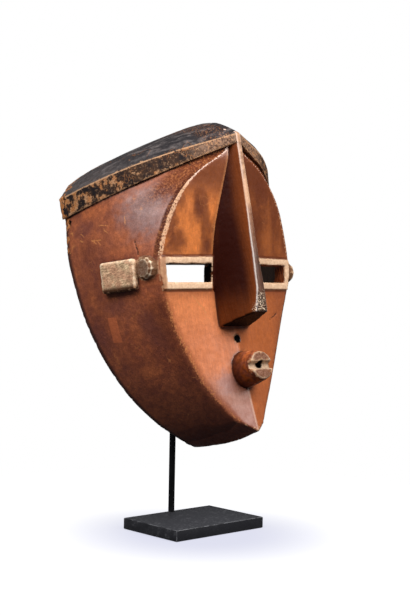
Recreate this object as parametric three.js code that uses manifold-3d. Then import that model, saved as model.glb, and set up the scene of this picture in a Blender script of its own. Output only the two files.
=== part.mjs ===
// A Central African dance mask carved from one block of wood, held up by a black rod on a small black base.
// Millimetres, +Z up. The face looks along -Y, and the origin is the centre of the base's underside.
// The mask has axes of its own: its open back lies in y = 0, z runs up that back from the lowest point
// of the rim, and depths in front of the back are negative y. The whole mask leans back on the rod.
import * as THREE from 'three';
import { mergeVertices } from 'three/addons/utils/BufferGeometryUtils.js';
import Module from 'manifold-3d';

const wasm = await Module();
wasm.setup();

// Stand
const BASE = { width: 110, depth: 76, height: 10.7, edge: 0.6 };
const ROD = { diameter: 6, x: 1.5, backInset: 3.4, bend: 14, seatHeight: 122, seatDepth: 9, clearance: 0.3,
  slant: THREE.MathUtils.degToRad(20) };

// Mask: where it stands and how far it leans back
const LEAN = THREE.MathUtils.degToRad(18);
const RIM_FOOT = { y: -2, z: 78 };
const WALL = 10;

// Profiles up the mask, as [height, value] stations joined by a smooth curve
const rimHalfWidth = profile([[-8, 6], [9, 22.5], [25, 42.5], [49, 67], [73, 83.5], [96, 95], [130, 106],
  [183, 112], [220, 107.6], [262, 106]]);
const ridgeHalfWidth = profile([[-8, 3], [15, 22.6], [49, 45.2], [95, 66], [134, 79], [156, 82], [195, 70.4],
  [216, 58], [232, 41.2], [243, 23], [250, 11], [262, 4]]);
const ridgeDepth = profile([[-8, 86.5], [15, 79], [49, 74.1], [95, 76.8], [134, 84.4], [160, 90],
  [195, 102.2], [226, 115], [243, 124.3], [250, 126.4], [262, 127]]);
const sideBulge = profile([[-8, 1], [30, 2.5], [100, 5], [150, 4.5], [195, 9], [226, 16], [243, 21],
  [262, 21]]);
const faceDepthAtMiddle = profile([[-8, 86.5], [30, 84.4], [105, 83.2], [130, 86], [152, 93.2], [203, 113.5],
  [243, 127], [262, 131]]);
const NOSE = { foot: 96, footDepth: 81.5, footRise: 0.107, sunk: 7, fullness: 0.6 };
const noseHalfWidth = profile([[95, 18.4], [130, 18.6], [165, 21.4], [190, 19.8], [216, 14.4], [243, 8.4],
  [264, 5]]);
const noseEdgeHalfWidth = profile([[98, 7.6], [120, 4.8], [155, 3.2], [262, 2.4]]);
const noseDepth = profile([[98, 123.4], [118, 126.7], [155, 128.9], [201, 132.8], [262, 136.8]]);
const capHalfWidth = profile([[0, 110.5], [32, 106.5], [60, 98], [86, 83], [101, 67], [115, 47.5], [125, 26],
  [137, 0.6]]);
const capCrest = profile([[0, 302], [50, 298], [86, 293], [110, 285.8], [124, 276.5], [137, 266]]);
const keelHeight = profile([[0, 0], [25, -3.3], [58, -5.1], [86, -2.6]]);

const FACE = { foot: -8, top: 262, levelStep: 6.5, cheekBevel: 3.2, browBevel: 0.8 };
const KEEL = { slope: 0.7, roundAtRim: 8, sharpFrom: 45 };

// Larger than half of the mask in every direction
const HALF_SPAN = 150;

// Cap and its raised band: both edges fall away from the middle of the brow
const BAND = { lower: 257.5, lowerFall: 0.31, upper: 265.5, upperFall: 0.205, stand: 2.6, standFrom: 60,
  tuck: 14, overlap: 5 };
const CAP = { roundness: 0.67, brow: 112, tip: 137 };

// Hollow of the mask
const HOLLOW = { floor: 11, domeStart: 215, domeTop: 283, pastRim: 8, ridgeShare: 0.8 };

// Eyes, mouth, ears and holes
const EYE = { inner: 22.8, outerLow: 74.4, outerHigh: 75.4, bottom: 136.9, top: 153.8, depth: 89, rise: 8 };
const EYE_FRAME = { inner: 19, bottom: 131, top: 159.4, proud: 1.1, sunk: 4, short: 0.4 };
const MOUTH = { foot: 78, depth: 107.6, base: { width: 12.3, height: 16.8, z: 54.6 },
  front: { width: 13.6, height: 13.2, z: 53.8 } };
const LIPS = { past: 3, gapInFront: 10.2, gapBehind: 4.2, deep: 5.2, overhang: 6 };
const MOUTH_HOLE = { z: 55, radius: 3.3 };
const NOSE_HOLE = { z: 84.6, radius: 3.6 };
const EAR_BLOCK = { x: 103, depth: 53.4, z: 152.2, length: 34.8, height: 27.4, thickness: 20, round: 2.4,
  bevel: 1.8, turn: THREE.MathUtils.degToRad(21), tilt: THREE.MathUtils.degToRad(8.5) };
const EAR_KNOB = { x: 92, depth: 76.6, z: { left: 153.1, right: 150.6 },
  radius: 9.8, length: 24, chamfer: 2, sides: 10 };
const RIM_HOLES = { radius: 2, depth: 5.5, heights: [218, 242] };

// How far in front of the open back the cuts through the face start and end
const CUT = { front: HALF_SPAN, back: 50 };

// Turns a drawing in x and y, pulled out along z, so that it lies in y and z and is pulled out along x
const SIDEWAYS = new THREE.Matrix4().makeBasis(
  new THREE.Vector3(0, 1, 0),
  new THREE.Vector3(0, 0, 1),
  new THREE.Vector3(1, 0, 0),
);

// Joins [position, value] stations by a smooth curve through them
function profile(stations) {
  const slope = (i) => {
    const a = stations[Math.max(i - 1, 0)];
    const b = stations[Math.min(i + 1, stations.length - 1)];
    return (b[1] - a[1]) / (b[0] - a[0]);
  };
  return (position) => {
    let i = 0;
    while (i < stations.length - 2 && position > stations[i + 1][0]) i += 1;
    const [start, from] = stations[i];
    const [end, to] = stations[i + 1];
    const span = end - start;
    const t = THREE.MathUtils.clamp((position - start) / span, 0, 1);
    const t2 = t * t;
    const t3 = t2 * t;
    return from * (2 * t3 - 3 * t2 + 1) + to * (3 * t2 - 2 * t3)
      + span * (slope(i) * (t3 - 2 * t2 + t) + slope(i + 1) * (t3 - t2));
  };
}

// Evenly spaced numbers from start to end, both included
function steps(start, end, count) {
  return Array.from({ length: count + 1 }, (_, i) => start + ((end - start) * i) / count);
}

// Closed skin over a stack of rings that all have the same number of points
function loft(rings) {
  const size = rings[0].length;
  const positions = [];
  const indices = [];
  rings.forEach((ring) => ring.forEach((point) => positions.push(point.x, point.y, point.z)));
  for (let i = 0; i < rings.length - 1; i += 1) {
    for (let j = 0; j < size; j += 1) {
      const a = i * size + j;
      const b = i * size + ((j + 1) % size);
      indices.push(a, b, a + size, b, b + size, a + size);
    }
  }
  [rings[0], rings[rings.length - 1]].forEach((ring, end) => {
    const centre = ring.reduce((sum, point) => sum.add(point), new THREE.Vector3()).divideScalar(size);
    const hub = positions.length / 3;
    const first = end * (rings.length - 1) * size;
    positions.push(centre.x, centre.y, centre.z);
    for (let j = 0; j < size; j += 1) {
      const a = first + j;
      const b = first + ((j + 1) % size);
      indices.push(hub, ...(end ? [a, b] : [b, a]));
    }
  });
  const geometry = new THREE.BufferGeometry();
  geometry.setAttribute('position', new THREE.Float32BufferAttribute(positions, 3));
  geometry.setIndex(enclosedVolume(positions, indices) < 0 ? indices.reverse() : indices);
  return geometry;
}

// Six times the volume inside a skin, negative when the skin is inside out
function enclosedVolume(positions, indices) {
  const corner = (i) => new THREE.Vector3().fromArray(positions, 3 * indices[i]);
  let sum = 0;
  for (let i = 0; i < indices.length; i += 3) {
    sum += corner(i).dot(corner(i + 1).cross(corner(i + 2)));
  }
  return sum;
}

// Completes a half outline, given from the right side to the middle, with its mirror image
function mirrored(half) {
  const other = half.filter((point) => point.x > 1e-6).reverse();
  return [...half, ...other.map((point) => new THREE.Vector3(-point.x, point.y, point.z))];
}

// A closed geometry as a solid that can be cut and joined
function solid(geometry) {
  const bare = geometry.clone();
  bare.deleteAttribute('normal');
  bare.deleteAttribute('uv');
  const merged = mergeVertices(bare, 1e-4);
  return new wasm.Manifold(new wasm.Mesh({
    numProp: 3,
    vertProperties: merged.attributes.position.array,
    triVerts: new Uint32Array(merged.index.array),
  }));
}

// The finished solid as a geometry again
function geometryOf(manifold) {
  const { vertProperties, triVerts } = manifold.getMesh();
  const geometry = new THREE.BufferGeometry();
  geometry.setAttribute('position', new THREE.Float32BufferAttribute(vertProperties, 3));
  geometry.setIndex(Array.from(triVerts));
  geometry.computeVertexNormals();
  return geometry;
}

// Level outline of the mask at height z: the side bulges a little from the rim to the cheek ridge, and
// the flat of the face runs on to the middle. An inset moves all of it inwards, and a scale shrinks it.
function maskOutline(z, { inset = 0, scale = 1, back = 0 } = {}) {
  const rim = new THREE.Vector2(rimHalfWidth(z) - inset, 0).multiplyScalar(scale);
  const ridgeX = Math.max(ridgeHalfWidth(z) - HOLLOW.ridgeShare * inset, 1);
  const ridge = new THREE.Vector2(ridgeX, inset - ridgeDepth(z)).multiplyScalar(scale);
  const middle = (inset - faceDepthAtMiddle(z)) * scale;
  const chord = ridge.clone().sub(rim);
  const outward = new THREE.Vector2(-chord.y, chord.x).normalize();
  const bevel = Math.min(z < EYE_FRAME.bottom ? FACE.cheekBevel : FACE.browBevel, ridge.x / 2);
  const half = steps(0, 1 - bevel / chord.length(), inset ? 7 : 9).map((share) => {
    const point = rim.clone()
      .addScaledVector(chord, share)
      .addScaledVector(outward, 4 * share * (1 - share) * sideBulge(z) * scale);
    return new THREE.Vector3(point.x, point.y, z);
  });
  steps(ridge.x - bevel, 0, 3).forEach((x) => {
    half.push(new THREE.Vector3(x, THREE.MathUtils.lerp(middle, ridge.y, x / ridge.x), z));
  });
  if (back) half.unshift(new THREE.Vector3(rim.x, back, z));
  return mirrored(half);
}

// Depth of the flat of the face at a place on it
function faceDepth(x, z) {
  const share = Math.min(Math.abs(x) / ridgeHalfWidth(z), 1);
  return THREE.MathUtils.lerp(faceDepthAtMiddle(z), ridgeDepth(z), share);
}

// Everything above the shallow V of the keel under the chin, raised by lift. The V is round at the rim
// and sharpens towards the chin.
function aboveKeel(lift) {
  const sky = 2 * HALF_SPAN;
  return solid(loft(steps(-HALF_SPAN / 10, HALF_SPAN, 11).map((depth) => {
    const round = KEEL.roundAtRim * THREE.MathUtils.clamp(1 - depth / KEEL.sharpFrom, 0, 1);
    const keel = (x) => keelHeight(depth) + lift + KEEL.slope * (Math.hypot(x, round) - round);
    const flanks = [HALF_SPAN, 36, 22, 13, 7, 3, 0].map((x) => new THREE.Vector3(x, -depth, keel(x)));
    const top = [0, HALF_SPAN].map((x) => new THREE.Vector3(x, -depth, sky));
    return mirrored([...top, ...flanks]);
  })));
}

// Face and cheeks as a full block, up to just inside the band
function faceBlock() {
  const levels = steps(FACE.foot, FACE.top, Math.round((FACE.top - FACE.foot) / FACE.levelStep));
  const block = solid(loft(levels.map((z) => maskOutline(z))));
  const top = BAND.lower + BAND.overlap;
  const underBand = solid(loft([HALF_SPAN, -HALF_SPAN].map((y) => mirrored([
    new THREE.Vector3(0, y, -HALF_SPAN),
    new THREE.Vector3(HALF_SPAN, y, -HALF_SPAN),
    new THREE.Vector3(HALF_SPAN, y, top - BAND.lowerFall * HALF_SPAN),
    new THREE.Vector3(0, y, top),
  ]))));
  return block.intersect(aboveKeel(0)).intersect(underBand);
}

// Cap with its raised band: upright slices from the rim to the point above the nose
function capBlock() {
  const depths = [...steps(0, CAP.brow, 14).slice(0, -1), ...steps(CAP.brow, CAP.tip, 7)];
  const underside = (x) => BAND.lower - BAND.lowerFall * x;
  return solid(loft(depths.map((depth) => {
    const width = capHalfWidth(depth);
    const foot = Math.max(width - BAND.stand * Math.min(depth / BAND.standFrom, 1), 0.7 * width);
    const inner = Math.max(foot - BAND.tuck, foot / 2);
    const edge = BAND.upper - BAND.upperFall * width;
    const rise = Math.max(capCrest(depth) - edge, 0.3);
    const point = (x, z) => new THREE.Vector3(x, -depth, z);
    const roof = steps(0, 1, 8).map((share) => (
      point(width * (1 - share), edge + rise * share ** CAP.roundness)
    ));
    return mirrored([
      point(0, underside(0)),
      point(inner, underside(inner)),
      point(foot, underside(foot)),
      ...roof,
    ]);
  })));
}

// The hollow: the same form set in by the wall, domed under the cap and open at the back
function hollow() {
  const { domeStart, domeTop, pastRim, floor } = HOLLOW;
  const levels = [...steps(0, domeStart, 22).slice(0, -1), ...steps(domeStart, domeTop - 0.6, 10)];
  const dome = (z) => Math.sqrt(1 - Math.max((z - domeStart) / (domeTop - domeStart), 0) ** 2);
  const rings = levels.map((z) => maskOutline(z, { inset: WALL, scale: dome(z), back: pastRim }));
  return solid(loft(rings)).intersect(aboveKeel(floor));
}

// Nose: a long blade with a worn narrow edge, cut off level underneath
function nose() {
  const underside = (depth) => NOSE.foot + NOSE.footRise * (depth - NOSE.footDepth);
  return solid(loft(steps(0, 1, 26).map((rise) => {
    const level = THREE.MathUtils.lerp(NOSE.foot, FACE.top, rise);
    const width = noseHalfWidth(level);
    const edge = noseEdgeHalfWidth(level);
    const front = noseDepth(level);
    const root = faceDepth(width, level);
    const half = [
      [width - 1, root - NOSE.sunk],
      [width, root - 1],
      [(width + edge) / 2 + NOSE.fullness, (root + front) / 2],
      [edge, front - 0.45 * edge],
      [0.62 * edge, front - 0.1 * edge],
      [0, front],
    ];
    return mirrored(half.map(([x, depth]) => new THREE.Vector3(
      x,
      -depth,
      THREE.MathUtils.lerp(underside(depth), FACE.top, rise),
    )));
  })));
}

// A straight cut through the face with the given outline in x and z
function bore(shape) {
  const prism = new THREE.ExtrudeGeometry(shape, {
    depth: CUT.front - CUT.back,
    bevelEnabled: false,
    curveSegments: 10,
  });
  prism.rotateX(Math.PI / 2);
  prism.translate(0, -CUT.back, 0);
  return solid(prism);
}

// A round hole through the middle of the face
function roundBore({ z, radius }) {
  return bore(new THREE.Shape().absarc(0, z, radius, 0, 2 * Math.PI));
}

// Raised flat frame round one eye slit, following the face
function eyeFrame(side) {
  const { inner, bottom, top, proud, sunk, short } = EYE_FRAME;
  return solid(loft(steps(bottom, top, 6).map((z) => {
    const columns = steps(inner, ridgeHalfWidth(z) - short, 6);
    const front = columns.map((x) => new THREE.Vector3(side * x, -faceDepth(x, z) - proud, z));
    const back = columns.map((x) => new THREE.Vector3(side * x, -faceDepth(x, z) + sunk, z));
    return [...front, ...back.reverse()];
  })));
}

// Straight opening behind the frame, which rises a little on its way to the hollow
function eyeSlit(side) {
  const middle = (EYE.bottom + EYE.top) / 2;
  const level = bore(new THREE.Shape([
    [EYE.inner, EYE.bottom],
    [EYE.outerLow, EYE.bottom],
    [EYE.outerHigh, EYE.top],
    [EYE.inner, EYE.top],
  ].map(([x, z]) => new THREE.Vector2(side * x, z))));
  return level
    .translate([0, EYE.depth, -middle])
    .rotate([EYE.rise, 0, 0])
    .translate([0, -EYE.depth, middle]);
}

// Tubular mouth: a short oval boss that tapers towards the lips and rounds off in front
function mouthBoss() {
  const { base, front, foot, depth } = MOUTH;
  const rings = [[0, 0, 0], [0.3, 0.06, 0], [0.6, 0.4, 0], [0.85, 0.8, 0], [0.96, 1, 0.2], [1, 1, 1.1]];
  return solid(loft(rings.map(([rise, taper, rounding]) => {
    const width = THREE.MathUtils.lerp(base.width, front.width, taper) - rounding;
    const height = THREE.MathUtils.lerp(base.height, front.height, taper) - rounding;
    const z = THREE.MathUtils.lerp(base.z, front.z, taper);
    return steps(0, 2 * Math.PI, 26).slice(1).map((angle) => new THREE.Vector3(
      width * Math.cos(angle),
      -THREE.MathUtils.lerp(foot, depth, rise),
      z + height * Math.sin(angle),
    ));
  })));
}

// Gap between the lips, wider in front
function lipGap() {
  const front = -MOUTH.depth - LIPS.past;
  const back = LIPS.deep - MOUTH.depth;
  const wedge = new THREE.Shape([
    [front, -LIPS.gapInFront / 2],
    [back, -LIPS.gapBehind / 2],
    [back, LIPS.gapBehind / 2],
    [front, LIPS.gapInFront / 2],
  ].map(([y, z]) => new THREE.Vector2(y, z)));
  const length = 2 * (MOUTH.front.width + LIPS.overhang);
  const geometry = new THREE.ExtrudeGeometry(wedge, { depth: length, bevelEnabled: false });
  geometry.applyMatrix4(SIDEWAYS);
  geometry.translate(-length / 2, 0, MOUTH.front.z);
  return solid(geometry);
}

// Ear: a block lying nearly level on the side of the head, and a faceted knob in front of it, which sits
// a little higher on the left
function ear(side) {
  const { length, height, thickness, round, bevel } = EAR_BLOCK;
  const w = length / 2 - round;
  const h = height / 2 - round;
  const outline = new THREE.Shape()
    .absarc(w, h, round, 0, Math.PI / 2)
    .absarc(-w, h, round, Math.PI / 2, Math.PI)
    .absarc(-w, -h, round, Math.PI, 1.5 * Math.PI)
    .absarc(w, -h, round, 1.5 * Math.PI, 2 * Math.PI);
  const block = new THREE.ExtrudeGeometry(outline, {
    depth: thickness,
    bevelThickness: bevel,
    bevelSize: bevel,
    bevelOffset: -bevel,
    bevelSegments: 2,
    curveSegments: 3,
  });
  block.applyMatrix4(SIDEWAYS);
  block.translate(-thickness - bevel, 0, 0);
  block.rotateX(-EAR_BLOCK.tilt);
  block.rotateZ(-EAR_BLOCK.turn);
  block.rotateX(LEAN);
  block.translate(EAR_BLOCK.x, -EAR_BLOCK.depth, EAR_BLOCK.z);

  const { x: knobX, depth, radius, length: knobLength, chamfer, sides, z: heights } = EAR_KNOB;
  const knob = new THREE.LatheGeometry([
    [0, -knobLength],
    [radius, -knobLength],
    [radius, -chamfer],
    [radius - chamfer, 0],
    [0, 0],
  ].map(([r, y]) => new THREE.Vector2(r, y)), sides);
  knob.rotateZ(-Math.PI / 2);
  knob.translate(knobX, -depth, side > 0 ? heights.right : heights.left);

  const both = solid(block).add(solid(knob));
  return side > 0 ? both : both.mirror([1, 0, 0]);
}

// Small holes through the side just in front of the rim
function rimHoles() {
  return RIM_HOLES.heights.map((z) => {
    const pin = new THREE.CylinderGeometry(RIM_HOLES.radius, RIM_HOLES.radius, 2 * HALF_SPAN, 12);
    pin.rotateZ(Math.PI / 2);
    pin.translate(0, -RIM_HOLES.depth, z);
    return solid(pin);
  });
}

// Places the mask's own axes in the stand's
const leaning = new THREE.Matrix4().makeRotationX(-LEAN).setPosition(0, RIM_FOOT.y, RIM_FOOT.z);

// The rod stands up behind the mask, bends forward below the eyes and slants up into the wood behind the nose
const slant = new THREE.Vector3(0, -Math.cos(ROD.slant), Math.sin(ROD.slant));
const seatMouth = new THREE.Vector3(0, WALL - faceDepthAtMiddle(ROD.seatHeight), ROD.seatHeight)
  .applyMatrix4(leaning)
  .setX(ROD.x);
const rodTip = seatMouth.clone().addScaledVector(slant, ROD.seatDepth);
const rodFoot = new THREE.Vector3(ROD.x, BASE.depth / 2 - ROD.backInset, BASE.height + ROD.clearance);
const elbow = rodTip.clone().addScaledVector(slant, (rodTip.y - rodFoot.y) / Math.cos(ROD.slant));

// Round bar along a path of points that all lie in one upright plane
function roundBar(points, radius, sides) {
  const across = new THREE.Vector3(1, 0, 0);
  return loft(points.map((point, i) => {
    const before = points[Math.max(i - 1, 0)];
    const after = points[Math.min(i + 1, points.length - 1)];
    const normal = after.clone().sub(before).normalize().cross(across);
    return steps(0, 2 * Math.PI, sides).slice(1).map((angle) => point.clone()
      .addScaledVector(across, radius * Math.cos(angle))
      .addScaledVector(normal, radius * Math.sin(angle)));
  }));
}

function rodGeometry() {
  const bendStart = elbow.clone().setZ(elbow.z - ROD.bend);
  const bendEnd = elbow.clone().addScaledVector(slant, ROD.bend);
  const bend = new THREE.QuadraticBezierCurve3(bendStart, elbow, bendEnd);
  return roundBar([rodFoot, ...bend.getPoints(8), rodTip], ROD.diameter / 2, 16);
}

// Blind hole that takes the rod's tip, in the mask's own axes
function rodSeat() {
  const start = seatMouth.clone().addScaledVector(slant, -WALL);
  const end = rodTip.clone().addScaledVector(slant, ROD.clearance);
  const bar = roundBar([start, end], ROD.diameter / 2 + ROD.clearance, 16);
  return solid(bar.applyMatrix4(leaning.clone().invert()));
}

function maskGeometry() {
  const sides = [1, -1];
  const carved = [capBlock(), nose(), mouthBoss(), ...sides.map(eyeFrame), ...sides.map(ear)]
    .reduce((whole, piece) => whole.add(piece), faceBlock());
  const cuts = [
    hollow(),
    ...sides.map(eyeSlit),
    ...rimHoles(),
    lipGap(),
    roundBore(MOUTH_HOLE),
    roundBore(NOSE_HOLE),
    rodSeat(),
  ];
  return geometryOf(cuts.reduce((whole, piece) => whole.subtract(piece), carved));
}

function baseGeometry() {
  const { width, depth, height, edge } = BASE;
  const plan = new THREE.Shape([
    [-width / 2, -depth / 2],
    [width / 2, -depth / 2],
    [width / 2, depth / 2],
    [-width / 2, depth / 2],
  ].map(([x, y]) => new THREE.Vector2(x, y)));
  const block = new THREE.ExtrudeGeometry(plan, {
    depth: height - 2 * edge,
    bevelThickness: edge,
    bevelSize: edge,
    bevelOffset: -edge,
    bevelSegments: 1,
  });
  return block.translate(0, 0, edge);
}

function piece(name, geometry, color, roughness, metalness) {
  const mesh = new THREE.Mesh(geometry, new THREE.MeshStandardMaterial({ color, roughness, metalness }));
  mesh.name = name;
  return mesh;
}

const leaningMask = new THREE.Group();
leaningMask.position.set(0, RIM_FOOT.y, RIM_FOOT.z);
leaningMask.rotation.x = -LEAN;
leaningMask.add(piece('mask', maskGeometry(), 0x8a4f2d, 0.5, 0));

const object = new THREE.Group();
object.add(
  leaningMask,
  piece('rod', rodGeometry(), 0x141414, 0.45, 0.6),
  piece('base', baseGeometry(), 0x161616, 0.4, 0.6),
);

export default object;
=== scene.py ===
# %% [markdown]
# # A carved dance mask on its stand
#
# The object is a Central African mask carved from one block of wood, about 31 cm tall. A black rod holds
# it up over a small black base. The solids that set its true size come first, as a fixed frame.
# Everything here works around them, in metres, with +Z up and the face looking along -Y.

import math

import bmesh
import bpy
import numpy as np
from mathutils import Matrix, Vector, noise
from mathutils.bvhtree import BVHTree


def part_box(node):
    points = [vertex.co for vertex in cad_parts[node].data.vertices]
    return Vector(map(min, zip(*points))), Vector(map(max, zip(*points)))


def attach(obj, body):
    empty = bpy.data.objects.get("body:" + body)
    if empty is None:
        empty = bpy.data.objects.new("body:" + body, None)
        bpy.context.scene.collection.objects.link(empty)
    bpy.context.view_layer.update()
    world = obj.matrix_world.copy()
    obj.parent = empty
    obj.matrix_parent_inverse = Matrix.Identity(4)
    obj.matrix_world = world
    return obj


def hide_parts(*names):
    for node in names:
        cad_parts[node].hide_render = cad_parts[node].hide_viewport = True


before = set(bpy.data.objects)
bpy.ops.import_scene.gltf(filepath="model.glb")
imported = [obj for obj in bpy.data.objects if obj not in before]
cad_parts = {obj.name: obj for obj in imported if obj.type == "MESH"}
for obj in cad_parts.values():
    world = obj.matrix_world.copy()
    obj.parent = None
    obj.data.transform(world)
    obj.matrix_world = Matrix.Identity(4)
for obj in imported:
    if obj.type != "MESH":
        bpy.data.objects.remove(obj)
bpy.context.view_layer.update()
scene = bpy.context.scene
MM = 0.001

# %% [markdown]
# ## The mask's own axes
#
# The mask leans back on its rod. Carving marks, paint lines and grain follow the wood and not the stand,
# so all of them are easier to place in axes that lean with it: x across, y from the face (negative) to
# the open back (zero), and z up the back from the lowest point of the rim.

# %% Axes that lean with the mask
LEAN = math.radians(18)
RIM_FOOT = Vector((0, -2 * MM, 78 * MM))
mask_axes = Matrix.Translation(RIM_FOOT) @ Matrix.Rotation(-LEAN, 4, "X")
print("the mask leans back", round(math.degrees(LEAN)), "degrees")

# %% [markdown]
# ## A fine skin for the carving
#
# The solid has true edges but no tool marks, and its facets are too large to carry any. A remesh modifier
# in its sharp mode lays an even net of small quads over the solid and keeps the carved edges crisp. The
# net is laid in the mask's own axes, so its rows run along the eye slits. Modelling the relief by hand on
# the solid's long thin triangles would tear, which is why the even net comes first.


# %% Lay an even net of quads over the solid
NET = {"depth": 8, "scale": 0.85}


def even_net(solid, name):
    mesh = solid.data.copy()
    mesh.name = name
    mesh.transform(mask_axes.inverted())
    bm = bmesh.new()
    bm.from_mesh(mesh)
    bmesh.ops.remove_doubles(bm, verts=bm.verts, dist=0.001 * MM)
    bm.to_mesh(mesh)
    bm.free()
    piece = bpy.data.objects.new(name, mesh)
    scene.collection.objects.link(piece)
    net = piece.modifiers.new("net", "REMESH")
    net.mode = "SHARP"
    net.octree_depth = NET["depth"]
    net.scale = NET["scale"]
    net.use_remove_disconnected = False
    apply_modifiers(piece)
    return piece


def apply_modifiers(piece):
    shown = piece.evaluated_get(bpy.context.evaluated_depsgraph_get())
    made = bpy.data.meshes.new_from_object(shown)
    piece.modifiers.clear()
    piece.data = made


mask = even_net(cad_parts["mask"], "carved_mask")
print("net:", len(mask.data.vertices), "points")

# %% [markdown]
# ## Reading the form
#
# Wear sits on edges that stick out and dirt sits in corners, so the form itself says where each goes. For
# every point of the net, the middle of its neighbours lies inside the surface at an outer edge and
# outside it in a corner. How far it lies off, seen along the point's normal, is a number for the curve of
# the surface, and a few rounds of averaging spread that number as far as wear or dirt would reach. The
# widest spread, round the hollows, carries painted shade as well as dirt.


# %% Curve of the surface at every point
def read(owner, field):
    out = np.empty(len(owner) * 3, np.float32)
    owner.foreach_get(field, out)
    return out.reshape(-1, 3).astype(np.float64)


def points_of(mesh):
    return read(mesh.vertices, "co")


def normals_of(mesh):
    return read(mesh.vertex_normals, "vector")


def edges_of(mesh):
    out = np.empty(len(mesh.edges) * 2, np.int32)
    mesh.edges.foreach_get("vertices", out)
    return out.reshape(-1, 2)


def neighbour_mean(values, edges):
    count = np.bincount(edges.ravel(), minlength=len(values))
    columns = values.reshape(len(values), -1)
    out = np.empty_like(columns, dtype=np.float64)
    for i in range(columns.shape[1]):
        out[:, i] = np.bincount(edges[:, 0], columns[edges[:, 1], i], len(values))
        out[:, i] += np.bincount(edges[:, 1], columns[edges[:, 0], i], len(values))
    return (out / np.maximum(count, 1)[:, None]).reshape(values.shape)


def spread(values, edges, rounds):
    for _ in range(rounds):
        values = 0.5 * (values + neighbour_mean(values, edges))
    return values


def curve_of(mesh):
    """Positive on an edge that sticks out, negative in a corner, near zero on the flat."""
    points = points_of(mesh)
    edges = edges_of(mesh)
    off = neighbour_mean(points, edges) - points
    length = np.linalg.norm(points[edges[:, 0]] - points[edges[:, 1]], axis=1).mean()
    return -np.einsum("ij,ij->i", off, normals_of(mesh)) / length


curve = curve_of(mask.data)
print("sharpest edge", round(float(curve.max()), 2), "sharpest corner", round(float(curve.min()), 2))

# %% [markdown]
# ## Measures of the carving
#
# The finishes and the softening of the edges follow a few lines of the carving. The longest is the ridge
# that runs from the top of the brow down past the eye to the chin and parts the face from the sides. Its
# height up the mask, its distance from the middle and its depth in front of the rim are read at a few
# places, in millimetres, and the rest lies between them.

# %% Lines and places on the mask, in millimetres
RIDGE = {
    "height": (-8, 15, 49, 95, 134, 156, 175, 195, 206, 216, 224, 232, 238, 243, 247, 250, 256),
    "out": (3, 22.6, 45.2, 66, 79, 82, 77.6, 70.4, 64.8, 58, 50.8, 41.2, 32, 23, 15.8, 11, 6),
    "deep": (
        *(86.5, 79, 74.1, 76.8, 84.2, 89, 95, 102.2, 106.6),
        *(110.8, 114, 117.8, 121.4, 124.3, 125.6, 126.4, 127),
    ),
}
NOSE = {
    "height": (95, 130, 148, 165, 178, 190, 203, 216, 230, 243, 264),
    "out": (18.4, 18.6, 20.2, 21.4, 21, 19.8, 17.4, 14.4, 11.2, 8.4, 5),
}
NOSE_FOOT = {"low": 84, "high": 96, "front": 85}
NOSE_TIP = {"depth": 124, "height": 102, "radius": 9}
EYE = {"low": 130.6, "high": 159.8, "inner": 22.8, "front": 70}
SLIT = {"low": 136, "high": 156.2, "inner": 22, "outer": 76}
EAR_BLOCK = {
    "at": (103, -53.4, 152.2),
    "half": (18.3, 14.8),
    "half_thick": 5,
    "turn": math.radians(21),
    "tilt": math.radians(8.5),
}
EAR_KNOB = {
    "depth": 76.6,
    "left": 153.1,
    "right": 150.6,
    "radius": 10.8,
    "from": 80,
    "face": 8.2,
    "end": (88, 96),
}
MOUTH = {
    "from": (84, 105),
    "half_width": (13, 14.3),
    "half_height": (17.5, 13.9),
    "middle": (54.6, 53.8),
    "foot": 76,
    "lips": 105.8,
    "gap": 5.6,
    "gap_foot": 101.8,
}
HOLES = {"mouth": (55, 3.8), "nose": (84.6, 4), "rim": ((218, 3.1), (242, 2.7)), "rim_depth": 5.5}
NOSE_FRONT = {
    "height": (98, 120, 155, 262),
    "half": (7.6, 4.8, 3.2, 2.4),
    "deep": (123.4, 126.7, 128.9, 136.8),
}
RIM = 16
print("the ridge is widest", max(RIDGE["out"]), "mm from the middle")

# %% [markdown]
# ## From facets to hand-smoothed wood
#
# The planes between the carved edges were scraped smooth, so the solid's facets have to go while the
# edges stay. Moving each point towards the middle of its neighbours does that. Points on an edge are held
# still, except along the cheek, where the ridge of the real mask has been rubbed broad and soft. A last
# round on everything takes the razor sharpness off.


# %% Smooth the planes and hold the edges
CHEEK = {"top": 122, "fade": 8, "reach": 7}


def hold_on_edges(mesh, limit=0.1):
    edges = edges_of(mesh)
    held = np.clip(np.abs(curve_of(mesh)) / limit, 0, 1)
    nearby = held.copy()
    np.maximum.at(nearby, edges[:, 0], held[edges[:, 1]])
    np.maximum.at(nearby, edges[:, 1], held[edges[:, 0]])
    return np.where(nearby > 0.9, 1.0, nearby ** 2)


def smooth(mesh, rounds, amount, hold=0.0):
    points = points_of(mesh)
    edges = edges_of(mesh)
    share = amount * (1 - np.broadcast_to(hold, len(points)))[:, None]
    for _ in range(rounds):
        points += share * (neighbour_mean(points, edges) - points)
    mesh.vertices.foreach_set("co", points.astype(np.float32).ravel())
    mesh.update()


def to_ridge(points):
    """Distance of every point, in millimetres, from the ridge at its own height."""
    out = np.interp(points[:, 2], RIDGE["height"], RIDGE["out"])
    deep = np.interp(points[:, 2], RIDGE["height"], RIDGE["deep"])
    return np.hypot(np.abs(points[:, 0]) - out, -points[:, 1] - deep)


def along_cheek(mesh):
    points = points_of(mesh) / MM
    near = np.clip(1 - to_ridge(points) / CHEEK["reach"], 0, 1)
    below = np.clip((CHEEK["top"] - points[:, 2]) / CHEEK["fade"], 0, 1)
    above_chin = np.clip((points[:, 2] - 8) / 12, 0, 1)
    return near * below * above_chin


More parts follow.
